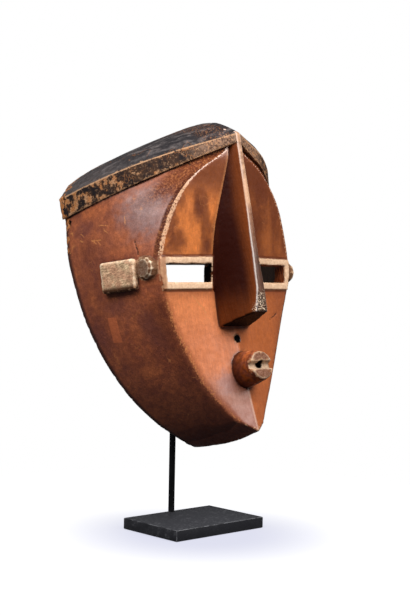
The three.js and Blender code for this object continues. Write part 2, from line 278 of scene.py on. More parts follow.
cheek = along_cheek(mask.data)
smooth(mask.data, rounds=16, amount=0.5, hold=hold_on_edges(mask.data) * (1 - cheek))
smooth(mask.data, rounds=14, amount=0.5, hold=1 - np.clip(2 * cheek, 0, 1))
smooth(mask.data, rounds=1, amount=0.3)
print("smoothed", len(mask.data.vertices), "points,", int((cheek > 0).sum()), "of them along the cheeks")

# %% [markdown]
# ## Inside and outside
#
# The hollow was never stained, so it needs to be told from the face. Seen from a point of the hollow
# there is open air straight towards the back and wood straight towards the front. The underside of the
# chin passes that test too, and its downward normal sorts it out. Deep in the chin the hollow's floor
# climbs towards the rim and hides the open air, so there a normal that points to the middle of the hollow
# counts as well. The hollow is hardly seen, so its net is thinned afterwards, which leaves the points
# where the eye goes.


# %% Find the hollow and thin its net
CHIN_TOP = 60 * MM
CHIN_DEEP = 60 * MM


def faces_hollow(mesh):
    skin = BVHTree.FromPolygons([v.co for v in mesh.vertices], [p.vertices for p in mesh.polygons])
    back = Vector((0, 1, 0))
    inside = np.zeros(len(mesh.vertices))
    for v in mesh.vertices:
        start = v.co + 0.5 * MM * v.normal
        under_chin = v.co.z < CHIN_TOP and v.normal.z < -0.3
        in_chin = v.co.z < CHIN_TOP and -v.co.y < CHIN_DEEP
        to_middle = Vector((0, v.co.y, CHIN_TOP)) - v.co
        if in_chin and v.normal.dot(to_middle) > 0.3 * to_middle.length:
            inside[v.index] = 1
            continue
        if under_chin or skin.ray_cast(start, back)[0] is not None:
            continue
        if skin.ray_cast(start, -back)[0] is not None:
            inside[v.index] = 1
    return inside


def thin_out(piece, weights, keep):
    group = piece.vertex_groups.new(name="hollow")
    for index in np.flatnonzero(weights > 0.5):
        group.add([int(index)], 1.0, "REPLACE")
    thin = piece.modifiers.new("thin", "DECIMATE")
    thin.ratio = keep
    thin.vertex_group = group.name
    apply_modifiers(piece)


inside = faces_hollow(mask.data)
thin_out(mask, inside, keep=0.63)
hollow = np.array([len(v.groups) > 0 and v.groups[0].weight > 0.5 for v in mask.data.vertices])
triangles = sum(len(p.vertices) - 2 for p in mask.data.polygons)
print("hollow:", int(inside.sum()), "points, thinned to", int(hollow.sum()))
print("triangles in all:", triangles)

# %% [markdown]
# ## Tool marks and wear in the wood
#
# An adze and a knife leave shallow scoops, and years of handling round the edges and knock small chips
# out of them. The scoops are a slow noise. The chips are a quick one that acts only where the curve of
# the surface says edge. Smoothing drew the surface in a little, so it is first let out by as much as the
# scoops take away on average, which keeps the carved mask the size of its solid.


# %% Scoops, chips and cracks
LET_OUT = 0.45 * MM
SCOOP = {"size": 17 * MM, "deep": 0.3 * MM}
RIPPLE = {"size": 5 * MM, "deep": 0.12 * MM}
CHIP = {"size": 3.4 * MM, "deep": 1.1 * MM}
CRACKS = [
    ((-91, -73, 166), (-91, -72, 180), 0.9, 0.7),
    ((-45, -113, 238), (-45, -117, 250), 1.6, 1.0),
    ((50, -80, 102), (61, -80, 109), 1.5, 0.9),
]


def noise_at(points, size, seed=0):
    shift = Vector((11.3, 7.1, 3.7)) * seed
    return np.array([noise.noise(Vector(p) / size + shift) for p in points])


def distance_to(points, start, end):
    line = np.array(end) - np.array(start)
    offset = points - np.array(start)
    share = np.clip(offset @ line / (line @ line), 0, 1)
    return np.linalg.norm(offset - share[:, None] * line, axis=1)


def wear_down(mesh, hollow):
    points = points_of(mesh)
    edges = edges_of(mesh)
    edge = np.clip(spread(curve_of(mesh), edges, 2) / 0.16, 0, 1)
    scoops = SCOOP["deep"] * (0.5 + 0.5 * noise_at(points, SCOOP["size"]))
    ripples = RIPPLE["deep"] * (0.5 + 0.5 * noise_at(points, RIPPLE["size"], 1))
    chips = CHIP["deep"] * np.clip(noise_at(points, CHIP["size"], 2) - 0.1, 0, 1) * edge
    cut = scoops + ripples + chips
    for start, end, width, deep in CRACKS:
        cut += deep * MM * np.clip(1 - distance_to(points / MM, start, end) / width, 0, 1)
    points += normals_of(mesh) * np.where(hollow, -0.5 * cut, LET_OUT - cut)[:, None]
    mesh.vertices.foreach_set("co", points.astype(np.float32).ravel())
    mesh.update()
    return cut


carved_curve = curve_of(mask.data)
cut = wear_down(mask.data, hollow)
print("deepest mark", round(float(cut.max()) / MM, 2), "mm")

# %% [markdown]
# ## Where each finish goes
#
# One carved surface carries several finishes: a stain that stayed dark on the sides, near-black nose and
# mouth where hands and soot left their patina, black paint over the cap and its band, and pale pigment
# round the eyes and on the ears. Each is stored on the points as a number from 0 to 1, worked out from
# the mask's own measures. That keeps the finishes where the carver put them, and the material then breaks
# their edges up.


# %% Marks that come from the curve of the surface
# the widest spread, grime_and_shade, is dirt and painted shade round the hollows
CURVE_MARKS = {"edge": (2, 0.2), "corner": (2, -0.14), "grime_and_shade": (30, -0.04)}


def store(mesh, name, values):
    layer = mesh.attributes.new(name, "FLOAT", "POINT")
    layer.data.foreach_set("value", np.clip(values, 0, 1).astype(np.float32))


def mark(name, inside):
    store(mask.data, name, np.where(inside & ~hollow, 1.0, 0.0))


for name, (rounds, full) in CURVE_MARKS.items():
    store(mask.data, name, spread(carved_curve, edges_of(mask.data), rounds) / full)
print("stored:", list(CURVE_MARKS))

# %% [markdown]
# Everything else is read off the same three measures of a point: how far from the middle it is, how deep
# in front of the rim, and how high. The face fades into the side over a few millimetres, and two strips
# of different width run along the outside of the ridge.


# %% Face, ridge and the strips beside it
RIDGE_REACH = {"ridge": 9, "brow_outside": 7, "brow_above": 34}


def measures(mesh):
    """Distance from the middle, depth in front of the rim and height of every point, and its normal."""
    points = points_of(mesh) / MM
    return np.abs(points[:, 0]), -points[:, 1], points[:, 2], normals_of(mesh)


def mark_ridge(mesh):
    across, depth, height, normals = measures(mesh)
    under_chin = (normals[:, 2] < -0.35) & (height < 25)
    out = np.interp(height, RIDGE["height"], RIDGE["out"])
    wide = np.interp(height, (115, 128), (9, 2.5))
    from_ridge = to_ridge(points_of(mesh) / MM)
    store(mesh, "face", np.where(under_chin, 0, (out - across) / wide + 0.3))
    store(mesh, "ridge", np.where(under_chin, 0, 1 - from_ridge / RIDGE_REACH["ridge"]))
    for name in ("brow_outside", "brow_above"):
        store(mesh, name, np.where(across > out, 1.0 - (across - out) / RIDGE_REACH[name], 0))


mark_ridge(mask.data)
print("stored: face,", ", ".join(RIDGE_REACH))

# %% [markdown]
# The nose has four finishes of its own: its flanks, the flat under its foot, which is painted near-black
# as painted shade, its worn front and the pitted tip. A thin line beside it, where the stain is rubbed
# off, is a fifth.


# %% Nose
def mark_nose(mesh):
    across, depth, height, normals = measures(mesh)
    nose_out = np.interp(height, NOSE["height"], NOSE["out"])
    eye_low, eye_high = EYE["low"], EYE["high"]
    beside = np.interp(height, (eye_low - 2, eye_low, eye_high, eye_high + 2), (0.6, 3, 3, 0.6))
    within = np.minimum(nose_out + beside - across, height - NOSE_FOOT["high"])
    foot = (height > NOSE_FOOT["low"]) & (height < NOSE_FOOT["high"] + 4) & (across < NOSE["out"][0] + 1)
    foot &= (normals[:, 2] < -0.4) & (depth > NOSE_FOOT["front"])
    store(mesh, "nose", np.where(hollow, 0, np.where(foot, 1, 0.5 + within / 1.6)))
    mark("nose_foot", foot)
    store(mesh, "nose_line", 1 - np.abs(across - nose_out - 1.4) / 1.4)
    front_half = np.interp(height, NOSE_FRONT["height"], NOSE_FRONT["half"])
    front_deep = np.interp(height, NOSE_FRONT["height"], NOSE_FRONT["deep"])
    on_front = (height > NOSE_FOOT["high"]) & (height < NOSE["height"][-1] + 4)
    on_front &= (depth > front_deep - 5) & ~foot
    store(mesh, "nose_front", np.where(on_front, 0.5 + (front_half + 0.2 - across) / 2.6, 0))
    store(mesh, "nose_proud", 1 - (front_deep - depth) / 30)
    from_tip = np.hypot(depth - NOSE_TIP["depth"], height - NOSE_TIP["height"])
    store(mesh, "nose_tip", np.where(foot | hollow, 0, 1 - from_tip / NOSE_TIP["radius"]))
    return foot


nose_foot = mark_nose(mask.data)
print("points under the nose's foot:", int(nose_foot.sum()))

# %% [markdown]
# Eye frames look straight ahead and the walls of the slits don't, which tells them apart. The ears are
# blocks that lie at an angle on the side, so their points are turned into the block's own axes first.


# %% Eyes and ears
def mark_eyes(mesh):
    across, depth, height, normals = measures(mesh)
    looks_ahead = normals[:, 1] < -0.55
    out = np.interp(height, RIDGE["height"], RIDGE["out"])
    eyes = (height > EYE["low"]) & (height < EYE["high"]) & (across > EYE["inner"])
    mark("eyes", eyes & (across < out + 2) & (depth > EYE["front"]) & looks_ahead)
    slits = (height > SLIT["low"]) & (height < SLIT["high"]) & (across > SLIT["inner"])
    mark("slits", slits & (across < SLIT["outer"]) & ~looks_ahead & (depth > 50))


def in_ears(points):
    side = np.sign(points[:, :1])
    local = points * np.hstack([side, np.ones_like(side), np.ones_like(side)]) - np.array(EAR_BLOCK["at"])
    lay = Matrix.Rotation(LEAN, 3, "X") @ Matrix.Rotation(-EAR_BLOCK["turn"], 3, "Z")
    lay = lay @ Matrix.Rotation(-EAR_BLOCK["tilt"], 3, "X")
    local = local @ np.array(lay)
    half_length, half_height = EAR_BLOCK["half"]
    block = (np.abs(local[:, 1]) < half_length) & (np.abs(local[:, 2]) < half_height)
    block &= np.abs(local[:, 0]) < EAR_BLOCK["half_thick"]
    knob_height = np.where(points[:, 0] > 0, EAR_KNOB["right"], EAR_KNOB["left"])
    from_axis = np.hypot(points[:, 1] + EAR_KNOB["depth"], points[:, 2] - knob_height)
    knob = (from_axis < EAR_KNOB["radius"]) & (np.abs(points[:, 0]) > EAR_KNOB["from"])
    lower = np.where(block, -local[:, 2] / half_height, 0)
    return block | knob, from_axis < EAR_KNOB["face"], lower


def mark_ears(mesh):
    across, depth, height, normals = measures(mesh)
    ears, at_knob, lower = in_ears(points_of(mesh) / MM)
    end_from, end_to = EAR_KNOB["end"]
    at_end = (np.abs(normals[:, 0]) > 0.8) & (across > end_from) & (across < end_to)
    mark("ears", ears)
    mark("knob_end", at_knob & at_end)
    mark("knob_side", ears & ~at_end & (depth > EAR_KNOB["depth"] - 6) & (lower == 0))
    store(mesh, "ear_low", np.where(ears, lower, 0))
    return ears


mark_eyes(mask.data)
print("points on the ears:", int(mark_ears(mask.data).sum()))

# %% [markdown]
# The mouth is a tube that narrows towards the front. Its front face is the lips, with a gap carved
# between them. Small holes and the back edge finish the list.


# %% Mouth, holes and back edge
def mark_mouth(mesh):
    across, depth, height, normals = measures(mesh)
    half_width, half_height, middle = [
        np.interp(depth, MOUTH["from"], MOUTH[key]) for key in ("half_width", "half_height", "middle")
    ]
    up = height - middle
    boss = ((across / half_width) ** 2 + (up / half_height) ** 2 < 1) & (depth > MOUTH["foot"])
    lips = boss & (depth > MOUTH["lips"]) & (normals[:, 1] < -0.55)
    gap = boss & (depth > MOUTH["gap_foot"]) & (np.abs(up) < MOUTH["gap"]) & ~lips
    mark("boss", boss)
    mark("lips", lips)
    mark("lip_gap", gap & (np.abs(normals[:, 0]) < 0.6))


def mark_holes(mesh):
    across, depth, height, normals = measures(mesh)
    holes = np.zeros(len(height), bool)
    for z, radius in (HOLES["mouth"], HOLES["nose"]):
        holes |= (np.hypot(across, height - z) < radius) & (depth > MOUTH["foot"] - 8)
    for z, radius in HOLES["rim"]:
        holes |= np.hypot(depth - HOLES["rim_depth"], height - z) < radius
    mark("holes", holes & ~nose_foot)
    store(mesh, "rim", np.where(hollow, 0, 1 - depth / RIM))


mark_mouth(mask.data)
mark_holes(mask.data)
print("stored:", [a.name for a in mask.data.attributes if a.data_type == "FLOAT"])

# %% [markdown]
# ## Shader groups that several finishes share
#
# Wood grain, blotches, broken paint edges and fine scratches turn up in more than one finish. Each is a
# node group with named inputs and outputs, built once and placed wherever it is needed with its own
# values. The groups put out only masks, and the shader itself stays in each material.


# %% A small kit for writing node trees
class Tree:
    """Adds nodes to a tree and links them in the order in which a finish is thought through."""

    def __init__(self, tree):
        self.tree = tree

    def add(self, kind, inputs=(), **settings):
        node = self.tree.nodes.new(kind)
        for key, value in settings.items():
            setattr(node, key, value)
        for key, value in dict(inputs).items():
            self.feed(node.inputs[key], value)
        return node

    def feed(self, socket, value):
        if isinstance(value, bpy.types.NodeSocket):
            self.tree.links.new(value, socket)
        else:
            socket.default_value = value

    def math(self, operation, a, b=0.0, clamp=False):
        return self.add("ShaderNodeMath", {0: a, 1: b}, operation=operation, use_clamp=clamp).outputs[0]

    def chain(self, operation, values):
        made = values[0]
        for value in values[1:]:
            made = self.math(operation, made, value)
        return made

    def times(self, *values):
        return self.chain("MULTIPLY", values)

    def plus(self, *values):
        return self.chain("ADD", values)

    def most(self, *values):
        return self.chain("MAXIMUM", values)

    def less(self, a, b):
        return self.math("SUBTRACT", a, b)

    def rest(self, mask):
        """Everything that a mask leaves out."""
        return self.less(1.0, mask)

    def vector(self, operation, a, b=(0, 0, 0)):
        node = self.add("ShaderNodeVectorMath", {0: a, 1: b}, operation=operation)
        return node.outputs["Value" if operation in ("LENGTH", "DISTANCE", "DOT_PRODUCT") else "Vector"]

    def scaled(self, vector, scale):
        return self.add("ShaderNodeVectorMath", {0: vector, "Scale": scale}, operation="SCALE").outputs[0]

    def split(self, vector):
        return self.add("ShaderNodeSeparateXYZ", {0: vector}).outputs

    def ramp(self, value, low, high, to_low=0.0, to_high=1.0):
        node = self.add(
            "ShaderNodeMapRange",
            {"Value": value, "From Min": low, "From Max": high, "To Min": to_low, "To Max": to_high},
            interpolation_type="SMOOTHSTEP",
        )
        return node.outputs["Result"]

    def mix(self, share, a, b, blend="MIX"):
        node = self.add("ShaderNodeMix", data_type="RGBA", blend_type=blend)
        self.feed(node.inputs[0], share)
        self.feed(node.inputs[6], a)
        self.feed(node.inputs[7], b)
        return node.outputs[2]

    def noise(self, place, scale, detail=4.0, rough=0.55, bend=0.0):
        node = self.add(
            "ShaderNodeTexNoise",
            {"Vector": place, "Scale": scale, "Detail": detail, "Roughness": rough, "Distortion": bend},
        )
        return node.outputs["Fac"]

    def stored(self, name):
        return self.add("ShaderNodeAttribute", attribute_name=name).outputs["Fac"]


def new_group(name, inputs, outputs):
    group = bpy.data.node_groups.new(name, "ShaderNodeTree")
    for label, kind, value in inputs:
        socket = group.interface.new_socket(label, in_out="INPUT", socket_type=kind)
        if value is not None:
            socket.default_value = value
    for label, kind in outputs:
        group.interface.new_socket(label, in_out="OUTPUT", socket_type=kind)
    tree = Tree(group)
    start = tree.add("NodeGroupInput")
    end = tree.add("NodeGroupOutput")
    return group, tree, start.outputs, end.inputs


VECTOR = "NodeSocketVector"
FLOAT = "NodeSocketFloat"
print("kit ready")

# %% [markdown]
# The first group turns a place in the stand's axes, in metres, into the mask's own axes, in millimetres.
# All the mask's patterns start from it, so one number can be read against a ruler held to the carving. It
# also gives two flat maps, one of the side seen square on and one of the face, for marks that lie on
# them.

# %% Group: place on the mask
mask_place, tree, given, out = new_group(
    "mask place",
    [],
    [
        ("Place", VECTOR),
        ("Side map", VECTOR),
        ("Face map", VECTOR),
        ("Across", FLOAT),
        ("Sideways", FLOAT),
        ("Height", FLOAT),
        ("Depth", FLOAT),
    ],
)
coordinates = tree.add("ShaderNodeTexCoord")
moved = tree.vector("SUBTRACT", coordinates.outputs["Object"], RIM_FOOT)
turned = tree.add("ShaderNodeVectorRotate", {"Vector": moved, "Angle": LEAN}, rotation_type="X_AXIS")
in_mm = tree.scaled(turned.outputs[0], 1 / MM)
parts = tree.split(in_mm)
depth = tree.times(parts["Y"], -1.0)
side_map = tree.add("ShaderNodeCombineXYZ", {"X": depth, "Y": parts["Z"]})
face_map = tree.add("ShaderNodeCombineXYZ", {"X": parts["X"], "Y": parts["Z"]})
tree.feed(out["Place"], in_mm)
tree.feed(out["Side map"], side_map.outputs[0])
tree.feed(out["Face map"], face_map.outputs[0])
tree.feed(out["Across"], tree.math("ABSOLUTE", parts["X"]))
tree.feed(out["Sideways"], parts["X"])
tree.feed(out["Height"], parts["Z"])
tree.feed(out["Depth"], depth)
print("group:", mask_place.name)

# %% [markdown]
# Grain in this close wood runs up the mask as fine streaks, with a slow drift from lighter to darker wood
# across it. Stretching noise along one axis gives both, and a little distortion keeps the streaks from
# looking ruled.

# %% Group: grain
grain, tree, given, out = new_group(
    "grain",
    [("Place", VECTOR, None), ("Stretch", FLOAT, 0.06), ("Fineness", FLOAT, 0.9)],
    [("Streaks", FLOAT), ("Pores", FLOAT)],
)
stretch = tree.add("ShaderNodeCombineXYZ", {"X": 1.0, "Y": 1.0, "Z": given["Stretch"]}).outputs[0]
drawn = tree.vector("MULTIPLY", given["Place"], stretch)
streaks = tree.noise(drawn, given["Fineness"], detail=5.0, rough=0.6, bend=0.4)
fine = tree.noise(drawn, tree.times(given["Fineness"], 3.2), detail=3.0)
tree.feed(out["Streaks"], tree.ramp(streaks, 0.3, 0.7))
tree.feed(out["Pores"], tree.ramp(fine, 0.6, 0.75))
print("group:", grain.name)

# %% [markdown]
# Stain never dries evenly. Blotches of two sizes, each a smooth mask of its own, darken or warm it in
# places.

# %% Group: blotches
blotches, tree, given, out = new_group(
    "blotches",
    [("Place", VECTOR, None), ("Size", FLOAT, 28.0), ("Contrast", FLOAT, 0.16)],
    [("Large", FLOAT), ("Small", FLOAT)],
)
size = tree.math("DIVIDE", 1.0, given["Size"])
low = tree.less(0.5, given["Contrast"])
high = tree.plus(0.5, given["Contrast"])
large = tree.noise(given["Place"], size, detail=4.0, rough=0.55)
small = tree.noise(given["Place"], tree.times(size, 5.0), detail=5.0, rough=0.65)
tree.feed(out["Large"], tree.ramp(large, low, high))
tree.feed(out["Small"], tree.ramp(small, low, high))
print("group:", blotches.name)

# %% [markdown]
# A finish that is worn through has no soft edge. It flakes along a ragged line. This group takes how much
# of the finish ought to be left at a place and answers with how much is left once noise has nibbled at
# it.

# %% Group: ragged edge
ragged, tree, given, out = new_group(
    "ragged edge",
    [("Place", VECTOR, None), ("Amount", FLOAT, 0.5), ("Size", FLOAT, 4.0), ("Softness", FLOAT, 0.06)],
    [("Mask", FLOAT)],
)
nibble = tree.noise(given["Place"], tree.math("DIVIDE", 1.0, given["Size"]), detail=6.0, rough=0.65)
above = tree.less(given["Amount"], tree.ramp(nibble, 0.28, 0.72))
edge = tree.add("ShaderNodeMapRange", {"Value": above, "From Min": 0.0, "From Max": given["Softness"]})
tree.feed(out["Mask"], edge.outputs["Result"])
print("group:", ragged.name)

# %% [markdown]
# A single scratch or crack has a place of its own. This group draws one as a straight stroke between two
# points of a flat map, and noise bends and breaks it.

# %% Group: stroke
stroke, tree, given, out = new_group(
    "stroke",
    [("Map", VECTOR, None), ("Start", VECTOR, None), ("End", VECTOR, None), ("Width", FLOAT, 0.5)],
    [("Mask", FLOAT)],
)
wobble = tree.add("ShaderNodeTexNoise", {"Vector": given["Map"], "Scale": 0.22, "Detail": 3.0})
centred = tree.vector("SUBTRACT", wobble.outputs["Color"], (0.5, 0.5, 0.5))
pull = tree.scaled(centred, 3.2)
flat = tree.vector("MULTIPLY", pull, (1, 1, 0))
bent = tree.vector("ADD", given["Map"], flat)
line = tree.vector("SUBTRACT", given["End"], given["Start"])
offset = tree.vector("SUBTRACT", bent, given["Start"])
along = tree.vector("DOT_PRODUCT", offset, line)
whole = tree.vector("DOT_PRODUCT", line, line)
share = tree.math("DIVIDE", along, whole, clamp=True)
nearest = tree.scaled(line, share)
away = tree.vector("DISTANCE", offset, nearest)
thin = tree.times(given["Width"], 0.4)
breaks = tree.noise(given["Map"], 0.6, detail=2.0)
broken = tree.plus(away, tree.times(tree.ramp(breaks, 0.5, 0.66), given["Width"]))
tree.feed(out["Mask"], tree.ramp(broken, thin, given["Width"], 1.0, 0.0))
print("group:", stroke.name)

# %% [markdown]
# Fine scratches all over are too many to place. The lines between the cells of a bent Voronoi pattern
# look like them once a second noise has left only a few.

# %% Group: scratches
scratches, tree, given, out = new_group(
    "scratches",
    [("Place", VECTOR, None), ("Size", FLOAT, 26.0), ("Few", FLOAT, 0.6)],
    [("Mask", FLOAT)],
)
bend = tree.add("ShaderNodeTexNoise", {"Vector": given["Place"], "Scale": 0.05, "Detail": 2.0})
pull = tree.scaled(bend.outputs["Color"], 34.0)
bent = tree.vector("ADD", given["Place"], pull)
cells = tree.add(
    "ShaderNodeTexVoronoi",
    {"Vector": bent, "Scale": tree.math("DIVIDE", 1.0, given["Size"])},
    feature="DISTANCE_TO_EDGE",
)
line = tree.ramp(cells.outputs["Distance"], 0.003, 0.012, 1.0, 0.0)
some = tree.noise(given["Place"], 0.045, detail=3.0)
left = tree.ramp(some, given["Few"], tree.plus(given["Few"], 0.06))
tree.feed(out["Mask"], tree.times(line, left))
print("group:", scratches.name)

# %% [markdown]
# Punched or rubbed edges show as a stipple of small dark and light dots. Noise at the size of the tool's
# point, cut off hard, gives them.

# %% Group: stipple
stipple, tree, given, out = new_group(
    "stipple",
    [("Place", VECTOR, None), ("Size", FLOAT, 1.6)],
    [("Dark", FLOAT), ("Light", FLOAT)],
)
dots = tree.noise(given["Place"], tree.math("DIVIDE", 1.0, given["Size"]), detail=3.0, rough=0.6)
tree.feed(out["Dark"], tree.ramp(dots, 0.54, 0.6))
tree.feed(out["Light"], tree.ramp(dots, 0.4, 0.46, 1.0, 0.0))
print("group:", stipple.name)

# %% [markdown]
# ## Stained, painted and worn wood
#
# The outside of the mask is one material, because its finishes lie over each other on one piece of wood.
# It is built as they were put on: wood and stain, the dark patina of nose and mouth, black paint, pale
# pigment, and then what use has done to them.

# %% Start the outside's material
def use(tree, group, **inputs):
    node = tree.add("ShaderNodeGroup", node_tree=group)
    for label, value in inputs.items():
        tree.feed(node.inputs[label], value)
    return node.outputs


def spot(tree, flat_map, centre, size):
    """A soft patch on one of the flat maps, its edge pulled about by noise."""
    moved = tree.vector("SUBTRACT", flat_map, (*centre, 0))
    unit = tree.vector("MULTIPLY", moved, (1 / size[0], 1 / size[1], 0))
    away = tree.vector("LENGTH", unit)
    return tree.ramp(tree.plus(away, tree.noise(flat_map, 0.16, detail=4.0)), 1.5, 0.7)


def coats(tree, ground, layers):
    """Lay tints over a ground in turn. A layer is a tint, the mask of where it lies, and a strength."""
    for tint, mask, strength in layers:
        ground = tree.mix(tree.times(mask, strength), ground, tint)
    return ground


def new_material(name):
    material = bpy.data.materials.new(name)
    material.use_nodes = True
    material.node_tree.nodes.clear()
    tree = Tree(material.node_tree)
    shader = tree.add("ShaderNodeBsdfPrincipled")
    output = tree.add("ShaderNodeOutputMaterial")
    tree.feed(output.inputs["Surface"], shader.outputs["BSDF"])
    return material, tree, shader.inputs


outside, tree, shader = new_material("stained_wood")
where = use(tree, mask_place)
place, height, across = where["Place"], where["Height"], where["Across"]
wood = use(tree, grain, Place=place, Stretch=0.07, Fineness=0.8)
blotch = use(tree, blotches, Place=place, Size=30.0, Contrast=0.15)
fine = use(tree, blotches, Place=place, Size=9.0, Contrast=0.14)
speck = use(tree, blotches, Place=place, Size=4.2, Contrast=0.12)
dots = use(tree, stipple, Place=place, Size=1.8)
face = tree.stored("face")
corner = tree.stored("corner")
right_half = tree.ramp(where["Sideways"], -1.5, 1.5)
left_half = tree.rest(right_half)
print("material:", outside.name)

# %% [markdown]
# The stain is orange on the face, which has been handled and wiped. It turns rosy towards the chin,
# where a painted sheen lies on it too. The right half is painted browner, and darker towards its outer
# edge, as painted shade. Every change follows a height on the mask in millimetres, so a ramp on the
# height is all that each needs.

# %% Stain on the cheeks and the chin
FACE_ORANGE = (0.86, 0.265, 0.086, 1)
FACE_RIGHT_SHADE = (0.55, 0.14, 0.03, 1)
SOCKET_DARK = (0.13, 0.026, 0.005, 1)
CHIN_ROSE = (0.42, 0.18, 0.115, 1)
SIDE_BROWN = (0.44, 0.115, 0.046, 1)
SIDE_DARK = (0.2, 0.054, 0.028, 1)
SIDE_PLUM = (0.13, 0.046, 0.05, 1)
PAINTED_ROSE_SHEEN = (0.4, 0.22, 0.2, 1)
# painted sheen: a pale rose spot on the chin's left plane
chin_sheen = spot(tree, where["Face map"], (-20, 45), (15, 16))
# painted shade: the right half of the face goes browner, darker still near its outer edge
right_edge_shade = tree.times(tree.ramp(across, 48.0, 66.0), right_half)
cheek_stain = coats(tree, FACE_ORANGE, [
    (CHIN_ROSE, tree.ramp(height, 62.0, 34.0), 1.0),
    (SIDE_PLUM, tree.ramp(height, 32.0, 14.0), 0.35),
    (SIDE_BROWN, tree.ramp(height, 114.0, 88.0), 0.3),
    (FACE_RIGHT_SHADE, right_half, 0.9),
    (SOCKET_DARK, tree.ramp(height, 120.0, 130.0), 0.35),
    (SIDE_DARK, right_edge_shade, 0.35),
    (PAINTED_ROSE_SHEEN, chin_sheen, 0.6),
])
print("cheeks and chin stained")

# %% [markdown]
# In the sockets the stain ran down with the grain in long smudges. Blotches on a stretched place give the
# small ones, and soft spots at places of their own give the ones that the eye remembers.

# %% Stain in the sockets
SOCKET_ORANGE = (0.96, 0.28, 0.058, 1)
SMUDGES = [
    ((-64, 173), (18, 18)),
    ((-68, 190), (9, 22)),
    ((-40, 200), (7, 18)),
    ((-28, 168), (6, 12)),
    ((36, 192), (14, 22)),
    ((36, 217), (17, 17)),
]
BRIGHT_WOOD = ((-45, 178), (7, 15))
tall = tree.vector("MULTIPLY", place, (1.0, 0.5, 0.34))
run = use(tree, blotches, Place=tall, Size=24.0, Contrast=0.1)
up_socket = tree.ramp(height, 196.0, 228.0, 0.0, 0.85)
layers = [
    (SOCKET_DARK, tree.most(tree.times(run["Large"], 0.8), up_socket), 1.0),
    (SOCKET_DARK, run["Small"], 0.18),
]
layers += [(SOCKET_DARK, spot(tree, where["Face map"], *smudge), 0.8) for smudge in SMUDGES]
layers += [(SOCKET_ORANGE, spot(tree, where["Face map"], *BRIGHT_WOOD), 0.6)]
# painted shade: the right socket is darkened as a whole
layers += [(SOCKET_DARK, right_half, 0.62)]
socket = coats(tree, SOCKET_ORANGE, layers)
forehead = tree.ramp(height, 150.0, 168.0)
front = tree.mix(forehead, cheek_stain, socket)
front = coats(tree, front, [(SOCKET_DARK, blotch["Small"], 0.14)])
print("sockets stained, with", len(SMUDGES), "smudges")

# %% [markdown]
# The sides are a purplish brown that gets darker towards the keel, and the keel itself is painted
# near-black as painted shade. A painted pale sheen lies at the temple, and a rough orange strip under the
# end of the brow. Warmer and darker clouds lie at places of their own on the side map.

# %% Stain on the sides
SIDE_WARM = (0.7, 0.2, 0.066, 1)
KEEL_DARK = (0.045, 0.007, 0.003, 1)
PAINTED_SHEEN_PLUM = (0.19, 0.145, 0.16, 1)
BROW_ORANGE = (0.17, 0.048, 0.013, 1)
SIDE_PATCHES = [
    (SIDE_WARM, (62, 188), (11, 10), 0.55),
    (SIDE_WARM, (38, 218), (24, 10), 0.6),
    (SIDE_PLUM, (24, 205), (15, 12), 0.6),
    (SIDE_DARK, (24, 184), (15, 17), 0.5),
    (SIDE_WARM, (57, 175), (20, 6), 0.5),
    (SIDE_WARM, (16, 141), (10, 10), 0.5),
    (SIDE_PLUM, (37, 128), (15, 11), 0.5),
    (SIDE_WARM, (62, 129), (11, 9), 0.35),
    (SIDE_PLUM, (60, 98), (13, 30), 0.6),
    (SIDE_PLUM, (9, 108), (18, 26), 0.6),
    (SIDE_WARM, (38, 67), (12, 10), 0.6),
]
wide = use(tree, blotches, Place=place, Size=62.0, Contrast=0.1)
under_brow = tree.times(tree.ramp(tree.stored("brow_above"), 0.05, 0.5), tree.ramp(height, 200.0, 220.0))
sheen = spot(tree, where["Side map"], (84, 202), (34, 34))
side = coats(tree, SIDE_BROWN, [
    (SIDE_WARM, tree.ramp(height, 130.0, 200.0), 1.0),
    (SIDE_DARK, tree.ramp(height, 110.0, 15.0), 0.8),
    (SIDE_PLUM, wide["Large"], 0.55),
    (SIDE_DARK, run["Large"], 0.4),
    (SIDE_WARM, blotch["Large"], 0.45),
    (SIDE_PLUM, blotch["Small"], 0.4),
    (SIDE_WARM, run["Small"], 0.3),
    # painted shade: the lowest part of the sides, round the keel, goes near-black
    (KEEL_DARK, tree.ramp(height, 16.0, 0.0), 0.85),
    (BROW_ORANGE, under_brow, 0.85),
    # painted sheen: a pale plum-grey spot at the temple, put into the colour itself
    (PAINTED_SHEEN_PLUM, sheen, 0.65),
])
for tint, centre, size, strength in SIDE_PATCHES:
    side = coats(tree, side, [(tint, spot(tree, where["Side map"], centre, size), strength)])
on_side = tree.ramp(face, 0.0, 1.0, 1.0, 0.3)
colour = coats(tree, tree.mix(face, side, front), [
    (SIDE_DARK, wood["Streaks"], 0.24),
    (SIDE_DARK, tree.times(speck["Large"], on_side), 0.4),
    (KEEL_DARK, tree.times(speck["Small"], on_side), 0.3),
])
print("sides stained, with", len(SIDE_PATCHES), "clouds")

# %% [markdown]
# Hands and soot have turned the nose and the tube of the mouth nearly black at the root and left them
# browner where they stick out. The flat under the nose's foot is painted near-black as painted shade. The
# same dirt sits in every corner, and a wider darkening round the hollows is dirt and painted shade
# together. The walls of the eye slits are black.

